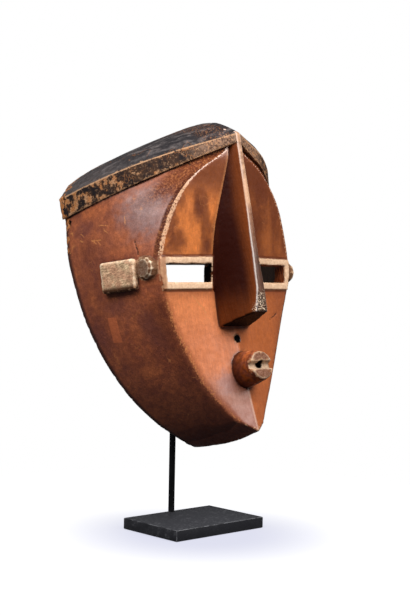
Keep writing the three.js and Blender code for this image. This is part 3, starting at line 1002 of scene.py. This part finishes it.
# %% Patina
PATINA = (0.028, 0.0028, 0.0005, 1)
PATINA_BROWN = (0.3, 0.068, 0.011, 1)
BARE_ORANGE = (0.6, 0.23, 0.075, 1)
NEAR_BLACK = (0.005, 0.002, 0.001, 1)
proud = tree.ramp(tree.stored("nose_proud"), 0.55, 0.97)
nose_colour = coats(tree, PATINA, [
    (PATINA_BROWN, proud, tree.ramp(height, 240.0, 195.0, 0.5, 0.62)),
    (PATINA_BROWN, tree.ramp(height, 130.0, 100.0), 0.35),
    (PATINA_BROWN, run["Large"], 0.12),
    (PATINA, wood["Streaks"], 0.3),
    # painted shade: the flat under the nose's foot goes near-black
    (NEAR_BLACK, tree.stored("nose_foot"), 1.0),
])
mouth_colour = coats(tree, PATINA_BROWN, [
    (SIDE_WARM, tree.ramp(height, 50.0, 68.0), 0.45),
    (SIDE_PLUM, blotch["Small"], 0.5),
    (PATINA, tree.ramp(where["Depth"], 100.0, 82.0), 0.7),
    (PATINA, speck["Large"], 0.5),
])
nose = tree.ramp(tree.stored("nose"), 0.3, 0.7)
nose_line = tree.times(tree.stored("nose_line"), tree.ramp(height, 158.0, 175.0), tree.rest(nose))
slit_wall = tree.mix(tree.times(right_half, wood["Streaks"]), NEAR_BLACK, SIDE_WARM)
colour = coats(tree, colour, [
    (nose_colour, nose, 1.0),
    (mouth_colour, tree.stored("boss"), 1.0),
    # dirt and painted shade round the hollows
    (PATINA, tree.stored("grime_and_shade"), 0.3),
    (PATINA, corner, 0.8),
    (BARE_ORANGE, nose_line, 0.6),
    (slit_wall, tree.stored("slits"), 1.0),
])
print("darkened by handling")

# %% [markdown]
# The cap is painted black. Its brush strokes and rubs follow the band round the head, so the pattern is
# laid in rings: how far out from the middle of the cap, and how far round it.

# %% Black paint on the cap
BLACK_PAINT = (0.018, 0.014, 0.015, 1)
CAP_BLACK = (0.032, 0.029, 0.031, 1)
BROWN_PAINT = (0.09, 0.042, 0.022, 1)
GREY_RUB = (0.17, 0.145, 0.14, 1)
CAP_SPAN = {"across": 110.0, "deep": 137.0}
out_x = tree.math("DIVIDE", across, CAP_SPAN["across"])
out_y = tree.math("DIVIDE", where["Depth"], CAP_SPAN["deep"])
squares = tree.plus(tree.times(out_x, out_x), tree.times(out_y, out_y))
rings = tree.times(tree.math("SQRT", squares), 24.0)
round_cap = tree.times(tree.math("ARCTAN2", out_x, out_y), 5.0)
strokes = tree.add("ShaderNodeCombineXYZ", {"X": rings, "Y": round_cap, "Z": right_half}).outputs[0]
brush = tree.noise(strokes, 1.0, detail=6.0, rough=0.66)
rub = tree.most(tree.ramp(brush, 0.45, 0.66), tree.ramp(across, 70.0, 104.0, 0.0, 0.45))
brown = tree.ramp(tree.noise(strokes, 1.7, detail=5.0), 0.5, 0.72)
crest = tree.most(tree.ramp(across, 34.0, 6.0), tree.ramp(across, 84.0, 104.0))
cap_paint = coats(tree, CAP_BLACK, [
    (GREY_RUB, rub, 1.0),
    (BLACK_PAINT, speck["Large"], 0.4),
    (BROWN_PAINT, tree.times(brown, crest), 0.4),
])
print("cap painted")

# %% [markdown]
# The band under the cap has lost about a quarter of its paint in flakes, down to tan wood. It falls away
# to both sides of the nose, its two edges are rubbed light in places, and a dark line of painted shadow
# runs under it.

# %% Worn paint on the band
BARE_TAN = (0.62, 0.35, 0.19, 1)
ROSE_RUB = (0.46, 0.28, 0.19, 1)
BAND = {"low": 257.5, "low_fall": 0.31, "high": 265.5, "high_fall": 0.205}


def above_line(start, fall):
    """Millimetres above a line that falls away to both sides of the middle."""
    return tree.less(tree.plus(height, tree.times(across, fall)), start)


band_low = above_line(BAND["low"], BAND["low_fall"])
band_high = above_line(BAND["high"], BAND["high_fall"])
above_low = tree.ramp(band_low, -0.5, 0.5)
above_high = tree.ramp(band_high, -0.6, 0.6)
kept = tree.ramp(across, 80.0, 106.0, 0.92, 0.65)
flaked = use(tree, ragged, Place=place, Amount=kept, Size=9.0, Softness=0.16)
edge_low = tree.ramp(band_low, 1.5, 0.3, 0.0, 0.75)
edge_high = tree.times(tree.ramp(band_high, -1.7, -0.6), tree.ramp(band_high, 1.1, 0.3))
rubbed = use(tree, ragged, Place=place, Amount=tree.most(edge_low, edge_high), Size=3.0, Softness=0.3)
middle = tree.ramp(across, 52.0, 26.0)
band_wood = coats(tree, BARE_ORANGE, [
    (BARE_TAN, blotch["Small"], 1.0),
    (BROWN_PAINT, speck["Small"], 0.6),
])
band_paint = coats(tree, BLACK_PAINT, [
    (BROWN_PAINT, fine["Large"], 0.7),
    (ROSE_RUB, middle, 0.7),
    (BROWN_PAINT, tree.times(fine["Small"], middle), 0.6),
    (BROWN_PAINT, speck["Large"], tree.ramp(across, 106.0, 60.0, 0.2, 0.5)),
])
flecks = tree.times(dots["Light"], tree.ramp(speck["Large"], 0.2, 0.7))
band = coats(tree, tree.mix(flaked["Mask"], band_wood, band_paint), [
    (BARE_TAN, flecks, tree.ramp(across, 30.0, 70.0, 0.5, 0.22)),
    (BARE_TAN, rubbed["Mask"], 0.85),
    (cap_paint, above_high, 1.0),
])
# painted shadow: a near-black line just under the band's lower edge
band_shadow = tree.times(tree.ramp(band_low, -2.6, -0.6), tree.ramp(band_low, 0.3, -0.3))
colour = coats(tree, colour, [
    (band, above_low, 1.0),
    (NEAR_BLACK, band_shadow, tree.ramp(across, 30.0, 60.0, 0.25, 0.85)),
])
print("band painted and flaked")

# %% [markdown]
# Pale pigment picks out the frames of the eyes, darker on the left frame's outer bar, with a dark line
# of painted shade above and below.

# %% Pigment round the eyes
PIGMENT = (0.93, 0.64, 0.42, 1)
PIGMENT_DIRT = (0.4, 0.17, 0.08, 1)
eye_dirt = tree.most(tree.times(fine["Small"], 0.4), corner)
outer_bar = tree.times(tree.ramp(across, 74.0, 77.0), left_half)
pigment = coats(tree, PIGMENT, [
    (PIGMENT_DIRT, eye_dirt, 0.6),
    (PIGMENT_DIRT, outer_bar, 0.8),
    (PIGMENT_DIRT, speck["Large"], 0.22),
])
from_top = tree.math("ABSOLUTE", tree.less(height, EYE["high"] + 0.4))
from_foot = tree.math("ABSOLUTE", tree.less(height, EYE["low"] - 0.4))
# painted shade: dark lines along the frames' top and bottom edges
frame_shade = tree.ramp(tree.math("MINIMUM", from_top, from_foot), 1.9, 0.8)
frame_shade = tree.times(frame_shade, face, tree.ramp(across, 20.0, 23.0))
colour = coats(tree, colour, [
    (pigment, tree.stored("eyes"), 1.0),
    (SOCKET_DARK, frame_shade, 0.85),
])
print("eye frames painted")

# %% [markdown]
# The ears and the front of the lips are wood gone grey, with the stain worn off and dirt in the tool
# marks, and light where their edges have been rubbed. Painted shade darkens the foot of each ear block
# and the sides of the knobs. Level hatching stands for the knife's strokes.

# %% Ears and lips
EAR_BEIGE = (1.0, 0.72, 0.44, 1)
EAR_GREY = (0.9, 0.52, 0.32, 1)
EAR_BROWN = (0.12, 0.038, 0.013, 1)
EAR_PALE = (1.0, 0.78, 0.55, 1)
EAR_SHADE = (0.06, 0.02, 0.008, 1)
KNOB_GREY = (0.19, 0.125, 0.095, 1)
LIP_ROSE = (0.32, 0.16, 0.105, 1)
GAP_CREAM = (0.62, 0.44, 0.3, 1)
level = tree.vector("MULTIPLY", place, (0.2, 0.2, 1.0))
hatching = tree.ramp(tree.noise(level, 1.1, detail=4.0, rough=0.7, bend=1.2), 0.47, 0.6)
ear_foot = tree.ramp(tree.stored("ear_low"), 0.5, 0.78, 0.0, 0.95)
ear_wood = coats(tree, tree.mix(fine["Large"], EAR_BEIGE, EAR_GREY), [
    (KNOB_GREY, tree.stored("knob_end"), 0.85),
    (EAR_BROWN, fine["Small"], 0.3),
    (EAR_BROWN, speck["Large"], 0.3),
    (EAR_BROWN, hatching, 0.65),
    # painted shade on the knobs' sides, and EAR_SHADE below is painted shade at the blocks' feet
    (EAR_BROWN, tree.stored("knob_side"), 0.85),
    (EAR_SHADE, ear_foot, 1.0),
    (EAR_PALE, tree.ramp(tree.stored("edge"), 0.2, 0.65), tree.less(0.95, ear_foot)),
    (EAR_BROWN, corner, 0.8),
])
lip_wood = coats(tree, LIP_ROSE, [
    (EAR_BROWN, speck["Small"], 0.8),
    (EAR_BROWN, dots["Dark"], 0.75),
    (EAR_PALE, tree.ramp(tree.stored("edge"), 0.3, 0.8), 0.5),
])
gap_wood = coats(tree, GAP_CREAM, [(EAR_BROWN, fine["Small"], 0.4)])
colour = coats(tree, colour, [
    (ear_wood, tree.stored("ears"), 1.0),
    (lip_wood, tree.stored("lips"), 1.0),
    (gap_wood, tree.stored("lip_gap"), 1.0),
    (NEAR_BLACK, tree.stored("holes"), 1.0),
])
print("ears and lips greyed")

# %% [markdown]
# Edges that stick out are rubbed down to bare wood. The front of the nose is worn most: pale near the
# band, dark brown lower down, with a painted highlight along its left edge, a bright line.

# %% Rubbed edges and the front of the nose
RIDGE_BROWN = (0.4, 0.2, 0.12, 1)
RIDGE_DARK = (0.05, 0.034, 0.029, 1)
RIDGE_TAN = (0.76, 0.44, 0.26, 1)
PALE_HIGHLIGHT = (0.85, 0.6, 0.48, 1)
BRIGHT_HIGHLIGHT = (0.8, 0.7, 0.64, 1)
off_nose = tree.rest(nose)
rubs = tree.times(tree.stored("edge"), off_nose, 0.85)
worn = use(tree, ragged, Place=place, Amount=rubs, Size=3.4, Softness=0.14)
nose_front = tree.ramp(tree.stored("nose_front"), 0.3, 0.7)
# painted highlight: a bright line along the edges of the nose's front
nose_edge_highlight = tree.times(nose_front, tree.ramp(tree.stored("nose_front"), 1.0, 0.7))
nose_highlight_tint = tree.mix(tree.ramp(height, 200.0, 165.0), PALE_HIGHLIGHT, BRIGHT_HIGHLIGHT)
bright_spot = tree.times(tree.ramp(height, 192.0, 202.0), tree.ramp(height, 228.0, 216.0))
front_wood = coats(tree, RIDGE_BROWN, [
    (RIDGE_TAN, tree.ramp(height, 196.0, 226.0), 1.0),
    (RIDGE_DARK, tree.ramp(height, 188.0, 140.0), 0.95),
    (EAR_BROWN, fine["Large"], 0.35),
    (EAR_BROWN, speck["Large"], 0.5),
    (nose_highlight_tint, nose_edge_highlight, 0.9),
    (RIDGE_TAN, bright_spot, 0.8),
])
colour = coats(tree, colour, [
    (BARE_TAN, worn["Mask"], 0.6),
    (front_wood, nose_front, 0.9),
])
print("edges rubbed")

# %% [markdown]
# The ridge of the brow is a light line, broken where the rubbing missed it and thin near the middle.
# Lower down the line is rubbed wood; near the top it turns pale, a painted highlight. A strip of dark
# stipple runs along its outside, and the same stipple roughens the wood under the end of the brow.

# %% Ridge of the brow
ridge = tree.stored("ridge")
strip = tree.times(tree.ramp(tree.stored("brow_outside"), 0.1, 0.5), tree.ramp(ridge, 0.05, 0.35))
strip = tree.times(strip, forehead, tree.ramp(height, 246.0, 215.0))
rough_brow = tree.most(strip, tree.times(under_brow, tree.rest(face)))
thin_line = tree.ramp(height, 205.0, 232.0, 0.64, 0.78)
line = tree.times(tree.ramp(ridge, thin_line, tree.plus(thin_line, 0.18)), forehead)
line = tree.times(line, tree.ramp(height, 212.0, 230.0, 0.85, 1.2))
line = tree.times(line, tree.ramp(right_half, 0.0, 1.0, 1.0, 0.6))
ridge_wear_and_highlight = use(tree, ragged, Place=place, Amount=line, Size=1.9, Softness=0.3)
# rubbed tan wood low on the ridge, a painted highlight near the top
worn_and_highlit_wood = tree.mix(tree.ramp(height, 218.0, 232.0), RIDGE_TAN, PALE_HIGHLIGHT)
colour = coats(tree, colour, [
    (KEEL_DARK, strip, 0.75),
    (KEEL_DARK, tree.times(rough_brow, dots["Dark"]), 0.55),
    (BARE_ORANGE, tree.times(rough_brow, dots["Light"]), 0.3),
    (worn_and_highlit_wood, ridge_wear_and_highlight["Mask"], 0.9),
])
print("brow ridge drawn")

# %% [markdown]
# The nose's tip is pitted with small dark and light dots. Along the cheek the side is darkest just
# outside the ridge, and the ridge itself is rubbed through to orange wood in small spots.

# %% Tip of the nose and ridge of the cheek
low_front = tree.times(nose_front, tree.ramp(height, 124.0, 108.0, 0.0, 0.8))
tip = tree.most(tree.ramp(tree.stored("nose_tip"), 0.1, 0.5), low_front)
tip_dots = use(tree, stipple, Place=place, Size=1.1)
near_cheek = tree.times(tree.stored("brow_outside"), 0.72)
near_cheek = tree.most(near_cheek, tree.ramp(tree.stored("brow_above"), 0.4, 1.0, 0.0, 0.6))
rubbed_cheek = tree.times(tree.ramp(ridge, 0.3, 0.85), tree.ramp(height, 130.0, 120.0), 0.5)
spots = use(tree, ragged, Place=place, Amount=rubbed_cheek, Size=1.7, Softness=0.3)
colour = coats(tree, colour, [
    (NEAR_BLACK, tree.times(tip, tip_dots["Dark"]), 0.9),
    (EAR_PALE, tree.times(tip, tip_dots["Light"]), 0.9),
    (KEEL_DARK, near_cheek, tree.ramp(height, 130.0, 118.0)),
    (BARE_ORANGE, spots["Mask"], 0.7),
])
print("nose tip and cheeks worn")

# %% [markdown]
# The longer scratches and the cracks each have a place on the side or the face, given by their two ends.
# The fine scratches all over need no places of their own.

# %% Scratches and cracks
LIGHT_STROKES = {
    "Side map": [
        ((32, 193), (36, 189)),
        ((34, 192), (41, 190)),
        ((38, 190), (40, 186)),
        ((42, 204), (50, 201)),
        ((46, 200), (49, 194)),
        ((67, 204), (67, 197)),
        ((20, 203), (23, 199)),
        ((17, 198), (22, 195)),
    ],
    "Face map": [((-46, 126), (-37, 117)), ((-37, 117), (-32, 110))],
}
DARK_STROKES = {
    "Side map": [((73, 167), (72, 180))],
    "Face map": [((51, 103.5), (61, 108.5)), ((-45, 239), (-45.5, 247))],
}


def draw(strokes, width):
    mask = 0.0
    for flat_map, lines in strokes.items():
        for start, end in lines:
            one = use(tree, stroke, Map=where[flat_map], Start=(*start, 0), End=(*end, 0), Width=width)
            mask = tree.most(mask, one["Mask"])
    return mask


marks = use(tree, scratches, Place=place, Size=20.0, Few=0.55)
colour = coats(tree, colour, [
    (BARE_ORANGE, draw(LIGHT_STROKES, 0.7), 0.8),
    (NEAR_BLACK, draw(DARK_STROKES, 0.8), 0.8),
    (BARE_ORANGE, tree.times(marks["Mask"], off_nose), 0.4),
])
print("scratched")

# %% [markdown]
# A blank pale patch on the left side shows where something was stuck for a long time. A painted
# highlight runs as a light line along the crest of the chin. The back edge is dark all round, and near
# the top its stain has chipped off.

# %% Patch, chin line and back edge
SIDE_RED = (0.64, 0.165, 0.06, 1)
RIM_DARK = (0.03, 0.014, 0.014, 1)
PATCH = {"at": (27, 109.6, 0), "turn": math.radians(-13.5), "half": (4.4, 11.4)}
local = tree.add(
    "ShaderNodeMapping",
    {"Vector": where["Side map"], "Location": PATCH["at"], "Rotation": (0, 0, PATCH["turn"])},
    vector_type="TEXTURE",
)
patch_at = tree.split(local.outputs[0])
half_x, half_y = PATCH["half"]
in_x = tree.ramp(tree.math("ABSOLUTE", patch_at["X"]), half_x - 0.5, half_x + 0.5, 1.0, 0.0)
in_y = tree.ramp(tree.math("ABSOLUTE", patch_at["Y"]), half_y - 0.5, half_y + 0.5, 1.0, 0.0)
# painted highlight: a light line along the chin's crest
chin_highlight = tree.times(tree.ramp(across, 1.6, 0.6), tree.ramp(height, 46.0, 34.0), face)
rim_line = tree.times(tree.ramp(where["Depth"], 6.0, 2.0), tree.rest(above_low))
chipped = tree.times(tree.stored("rim"), tree.ramp(height, 175.0, 200.0), 0.62)
rim_worn = use(tree, ragged, Place=place, Amount=chipped, Size=7.0, Softness=0.1)
colour = coats(tree, colour, [
    (SIDE_RED, tree.times(in_x, in_y, left_half), 0.55),
    (PALE_HIGHLIGHT, chin_highlight, 0.35),
    (RIM_DARK, rim_line, 0.85),
    (BARE_ORANGE, rim_worn["Mask"], 0.7),
])
print("worn")

# %% [markdown]
# The wood has little shine of its own. What makes the temple and the chin gleam is a thin layer of wax
# and hand grease, a coat that is missing from the nose's dark flanks and from the painted and pigmented
# parts; the colour of the temple and the chin also carries a painted sheen. The bump is only what is too
# fine for the net: pores, brush marks and the thickness of the paint.

# %% Wax and bump
tree.feed(shader["Base Color"], colour)
dull = tree.most(above_low, *(tree.stored(name) for name in ("ears", "eyes", "boss", "slits")))
dark_flank = tree.times(nose, tree.rest(tree.times(nose_front, 0.4)))
waxed = tree.rest(tree.most(dull, rough_brow, dark_flank))
rubbed_in = tree.most(face, tree.ramp(sheen, 0.0, 1.0, 0.4, 1.0))
patchy = tree.ramp(blotch["Small"], 0.0, 1.0, 1.0, 0.7)
tree.feed(shader["Coat Weight"], tree.times(waxed, rubbed_in, patchy))
shader["Coat Roughness"].default_value = 0.36
shader["Specular IOR Level"].default_value = 0.08
tree.feed(shader["Roughness"], tree.ramp(fine["Small"], 0.0, 1.0, 0.45, 0.6))
relief = tree.plus(tree.times(wood["Streaks"], 0.6), tree.times(above_high, rub))
relief = tree.less(relief, tree.times(wood["Pores"], 0.5))
relief = tree.less(relief, tree.times(strip, dots["Dark"]))
relief = tree.less(relief, tree.times(speck["Large"], 0.8))
bump = tree.add("ShaderNodeBump", {"Height": relief, "Strength": 0.4, "Distance": 0.35 * MM})
tree.feed(shader["Normal"], bump.outputs["Normal"])
print("material:", outside.name, "with", len(outside.node_tree.nodes), "nodes")

# %% [markdown]
# ## Bare wood in the hollow
#
# Nobody stained the inside. It is plain wood that has gone brown with breath, hands and soot, rougher
# than the front, with the adze's cuts still showing.

# %% The hollow's material
HOLLOW_BROWN = (0.3, 0.15, 0.075, 1)
HOLLOW_DARK = (0.15, 0.07, 0.034, 1)
SOOT = (0.07, 0.04, 0.026, 1)
hollow_wood, tree, shader = new_material("hollow_wood")
where = use(tree, mask_place)
wood = use(tree, grain, Place=where["Place"], Stretch=0.08, Fineness=0.7)
soot = tree.ramp(tree.noise(where["Place"], 0.03, detail=5.0, rough=0.6), 0.35, 0.7)
colour = coats(tree, HOLLOW_BROWN, [(HOLLOW_DARK, wood["Streaks"], 1.0), (SOOT, soot, 0.7)])
tree.feed(shader["Base Color"], colour)
tree.feed(shader["Roughness"], tree.ramp(soot, 0.0, 1.0, 0.62, 0.8))
bump = tree.add("ShaderNodeBump", {"Height": wood["Streaks"], "Strength": 0.5, "Distance": 0.4 * MM})
tree.feed(shader["Normal"], bump.outputs["Normal"])
print("material:", hollow_wood.name)

# %% [markdown]
# The net now gets its two materials, the hollow's wherever every corner of a face lies in the hollow, and
# turns back from the leaning axes to the stand's. Smoothing and tool marks can push a point past the
# solid's box by a hair, so all of them are held inside it. Then the carved mask takes its solid's place.


# %% Dress the mask and put it back on its stand
def dress(piece, hollow):
    mesh = piece.data
    mesh.materials.clear()
    mesh.materials.append(outside)
    mesh.materials.append(hollow_wood)
    flags = [int(all(hollow[i] for i in p.vertices)) for p in mesh.polygons]
    mesh.polygons.foreach_set("material_index", flags)
    mesh.polygons.foreach_set("use_smooth", [True] * len(mesh.polygons))
    mesh.transform(mask_axes)
    mesh.update()
    return sum(flags)


print("faces in the hollow:", dress(mask, hollow))


def keep_in_box(piece, node):
    low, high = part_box(node)
    points = np.clip(points_of(piece.data), np.array(low), np.array(high))
    piece.data.vertices.foreach_set("co", points.astype(np.float32).ravel())
    piece.data.update()


keep_in_box(mask, "mask")
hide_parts("mask")
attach(mask, "root")

# %% [markdown]
# ## The stand
#
# The rod and the base are steel with satin black paint. Their solids have the right shape but flat facets
# and hard corners, so each gets a copy with a bevel or a finer round, and paint that shows handling. On
# the base the paint also carries painted light: a lighter top, a darker front, and light edges that are
# partly wear and partly painted highlight.

# %% Satin black paint
DUST_GREY = (0.12, 0.12, 0.13, 1)
BASE_BLACK = (0.013, 0.013, 0.016, 1)
BASE_DUST_AND_LIGHT = (0.036, 0.036, 0.042, 1)
ROD_BLACK = (0.003, 0.003, 0.004, 1)
ROD_DUSTY = (0.008, 0.008, 0.01, 1)


def near_edges(tree, coordinates, node):
    """Three masks for a box: close to one of its edges, on its top, and on its front."""
    low, high = (np.array(corner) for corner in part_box(node))
    half = (high - low) / 2
    centre = tuple((high + low) / 2)
    moved = tree.vector("SUBTRACT", coordinates, centre)
    parts = tree.split(moved)
    near = 0.0
    for axis, reach in zip("XYZ", half):
        off = tree.math("ABSOLUTE", parts[axis])
        near = tree.plus(near, tree.ramp(off, reach - 0.9 * MM, reach - 0.3 * MM))
    top = tree.ramp(parts["Z"], half[2] - 0.5 * MM, half[2])
    front = tree.ramp(parts["Y"], 0.5 * MM - half[1], -half[1])
    return tree.ramp(near, 1.2, 1.9), top, front


def black_paint(name, dark, light, rough, shine, boxed=None):
    material, tree, shader = new_material(name)
    coordinates = tree.add("ShaderNodeTexCoord").outputs["Object"]
    in_mm = tree.scaled(coordinates, 1 / MM)
    marks = use(tree, blotches, Place=in_mm, Size=9.0, Contrast=0.3)
    dust_and_painted_light = tree.math("MULTIPLY", marks["Large"], tree.plus(0.3, marks["Small"]), clamp=True)
    if boxed:
        edges, top, front = near_edges(tree, coordinates, boxed)
        # painted shade: the front face keeps little dust, so it stays darker
        dust_and_painted_light = tree.times(dust_and_painted_light, tree.ramp(front, 0.0, 1.0, 1.0, 0.2))
        # light edges: worn paint and painted highlight together
        worn = use(tree, ragged, Place=in_mm, Amount=tree.times(edges, 0.8), Size=6.0, Softness=0.4)
        # painted light: the top is made lighter
        dust_and_painted_light = tree.most(dust_and_painted_light, tree.times(top, 0.8))
        lint = use(tree, stipple, Place=in_mm, Size=2.0)["Light"]
        light = tree.mix(tree.times(lint, marks["Large"]), light, DUST_GREY)
        light = tree.mix(worn["Mask"], light, DUST_GREY)
        dust_and_painted_light = tree.most(dust_and_painted_light, worn["Mask"])
    tree.feed(shader["Base Color"], tree.mix(dust_and_painted_light, dark, light))
    tree.feed(shader["Roughness"], tree.ramp(dust_and_painted_light, 0.0, 1.0, rough, rough + 0.16))
    shader["Specular IOR Level"].default_value = shine
    speck = tree.noise(in_mm, 1.6, detail=3.0)
    bump = tree.add("ShaderNodeBump", {"Height": speck, "Strength": 0.2, "Distance": 0.1 * MM})
    tree.feed(shader["Normal"], bump.outputs["Normal"])
    return material


base_paint = black_paint("base_black", BASE_BLACK, BASE_DUST_AND_LIGHT, rough=0.4, shine=0.5, boxed="base")
rod_paint = black_paint("rod_black", ROD_BLACK, ROD_DUSTY, rough=0.4, shine=0.2)
print("materials:", base_paint.name, rod_paint.name)


# %% [markdown]
# Both copies keep their solids' exact shape. Merging flat facets gives the base whole sides, which a bevel
# modifier can then round by a quarter of a millimetre, as on cut and filed steel. The rod is round
# already and only needs smooth shading, with its ends kept sharp.


# %% Base and rod
def finer_copy(node, name, paint):
    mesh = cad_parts[node].data.copy()
    mesh.name = name
    bm = bmesh.new()
    bm.from_mesh(mesh)
    bmesh.ops.remove_doubles(bm, verts=bm.verts, dist=0.001 * MM)
    bmesh.ops.dissolve_limit(bm, angle_limit=math.radians(1), verts=bm.verts, edges=bm.edges)
    bm.to_mesh(mesh)
    bm.free()
    piece = bpy.data.objects.new(name, mesh)
    scene.collection.objects.link(piece)
    mesh.materials.clear()
    mesh.materials.append(paint)
    return piece


def finish_stand_piece(piece, node):
    piece.data.polygons.foreach_set("use_smooth", [True] * len(piece.data.polygons))
    piece.data.set_sharp_from_angle(angle=math.radians(35))
    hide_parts(node)
    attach(piece, "root")
    print(piece.name, len(piece.data.polygons), "faces")


base = finer_copy("base", "steel_base", base_paint)
bevel = base.modifiers.new("edge", "BEVEL")
bevel.width = 0.25 * MM
bevel.segments = 2
bevel.limit_method = "ANGLE"
bevel.angle_limit = math.radians(20)
apply_modifiers(base)
finish_stand_piece(base, "base")

rod = finer_copy("rod", "steel_rod", rod_paint)
finish_stand_piece(rod, "rod")

# %% [markdown]
# ## Floor, light and camera
#
# The object was photographed in a dim room between soft boxes and then set on white, so blacks are deep,
# the background is plain white and only a faint bluish shadow lies round the base. The floor therefore
# looks white to the camera but gives little light back, and fades away into the white behind. The larger
# soft box stands in front on the right and lights the face. The other one, high on the left, puts the
# sheen on the temple.

# %% Floor
SHADE = {"from": 0.04, "to": 0.17, "centre": (-0.012, -0.022, 0), "colour": (0.62, 0.63, 0.74, 1)}
FADE = {"from": 0.22, "to": 0.42}
FLOOR = {"radius": 0.6, "below": 0.0002}
PAPER_GREY = (0.1, 0.1, 0.11, 1)
PAPER_WHITE = (1, 1, 1, 1)
UNLIT = (0, 0, 0, 1)
floor_mesh = bpy.data.meshes.new("floor")
bm = bmesh.new()
bmesh.ops.create_circle(bm, cap_ends=True, segments=64, radius=FLOOR["radius"])
bm.to_mesh(floor_mesh)
bm.free()
floor = bpy.data.objects.new("floor", floor_mesh)
floor.location.z = -FLOOR["below"]
scene.collection.objects.link(floor)
paper, tree, shader = new_material("white_paper")
shader["Base Color"].default_value = PAPER_GREY
shader["Roughness"].default_value = 0.9
shader["Specular IOR Level"].default_value = 0.0
shader["Emission Strength"].default_value = 1.0
on_floor = tree.add("ShaderNodeTexCoord").outputs["Object"]
away = tree.vector("LENGTH", tree.vector("SUBTRACT", on_floor, SHADE["centre"]))
lit = tree.mix(tree.ramp(away, SHADE["from"], SHADE["to"]), SHADE["colour"], PAPER_WHITE)
to_camera = tree.add("ShaderNodeLightPath").outputs["Is Camera Ray"]
tree.feed(shader["Emission Color"], tree.mix(to_camera, UNLIT, lit))
tree.feed(shader["Alpha"], tree.ramp(away, FADE["from"], FADE["to"], 1.0, 0.0))
floor_mesh.materials.append(paper)
print("floor fades out at", FADE["to"], "m")

# %% [markdown]
# One world can't be both the white background and a dim room. A light path node tells camera rays from all
# others, so the camera sees white and the object is lit by the room. Area lamps make the soft boxes.

# %% World and lights
DIM_ROOM = {"Color": (0.9, 0.94, 1.0, 1), "Strength": 0.1}
PLAIN_WHITE = {"Color": (1, 1, 1, 1), "Strength": 1.0}
LIT_POINT = Vector((0, 0, 0.2))
LAMP_DISTANCE = 1.6
world = bpy.data.worlds.new("white_room")
world.use_nodes = True
world.node_tree.nodes.clear()
tree = Tree(world.node_tree)
room = tree.add("ShaderNodeBackground", DIM_ROOM)
white = tree.add("ShaderNodeBackground", PLAIN_WHITE)
seen = tree.add("ShaderNodeLightPath").outputs["Is Camera Ray"]
both = tree.add("ShaderNodeMixShader", {0: seen})
tree.feed(both.inputs[1], room.outputs[0])
tree.feed(both.inputs[2], white.outputs[0])
tree.add("ShaderNodeOutputWorld", {"Surface": both.outputs[0]})
scene.world = world
scene.view_settings.view_transform = "Standard"


def direction(azimuth, elevation):
    """The way from the object to a camera or lamp. Azimuth 0 is in front of the face."""
    a, e = math.radians(azimuth), math.radians(elevation)
    return Vector((math.sin(a) * math.cos(e), -math.cos(a) * math.cos(e), math.sin(e)))


def soft_box(name, azimuth, elevation, size, power):
    data = bpy.data.lights.new(name, "AREA")
    data.shape = "SQUARE"
    data.size = size
    data.energy = power
    light = bpy.data.objects.new(name, data)
    light.rotation_mode = "QUATERNION"
    towards = direction(azimuth, elevation)
    light.location = LIT_POINT + LAMP_DISTANCE * towards
    light.rotation_quaternion = towards.to_track_quat("Z", "Y")
    scene.collection.objects.link(light)


soft_box("key", azimuth=10, elevation=42, size=0.9, power=28)
soft_box("fill", azimuth=-80, elevation=44, size=0.85, power=20)

# %% [markdown]
# The camera stands about 1.25 m from the object and a little above its middle, with a long lens. Its place,
# turn and slight roll were worked out from the base's corners, the rod and mirrored points of the mask.

# %% Camera at the photo's angle
CAMERA = {
    "at": (-0.8429, -0.9292, 0.2519),
    "azimuth": -42.52,
    "down": 1.88,
    "roll": 1.1,
    "lens": 77.53,
    "sensor": 36.0,
}
camera = bpy.data.objects.new("camera", bpy.data.cameras.new("camera"))
camera.data.lens = CAMERA["lens"]
camera.data.sensor_width = CAMERA["sensor"]
camera.location = CAMERA["at"]
back = direction(CAMERA["azimuth"], CAMERA["down"])
level = Vector((-back.y, back.x, 0)).normalized()
up = back.cross(level)
roll = math.radians(CAMERA["roll"])
right = math.cos(roll) * level + math.sin(roll) * up
top = math.cos(roll) * up - math.sin(roll) * level
camera.rotation_mode = "QUATERNION"
camera.rotation_quaternion = Matrix((right, top, back)).transposed().to_quaternion()
scene.collection.objects.link(camera)
scene.camera = camera
print("camera at", [round(x, 3) for x in camera.location])
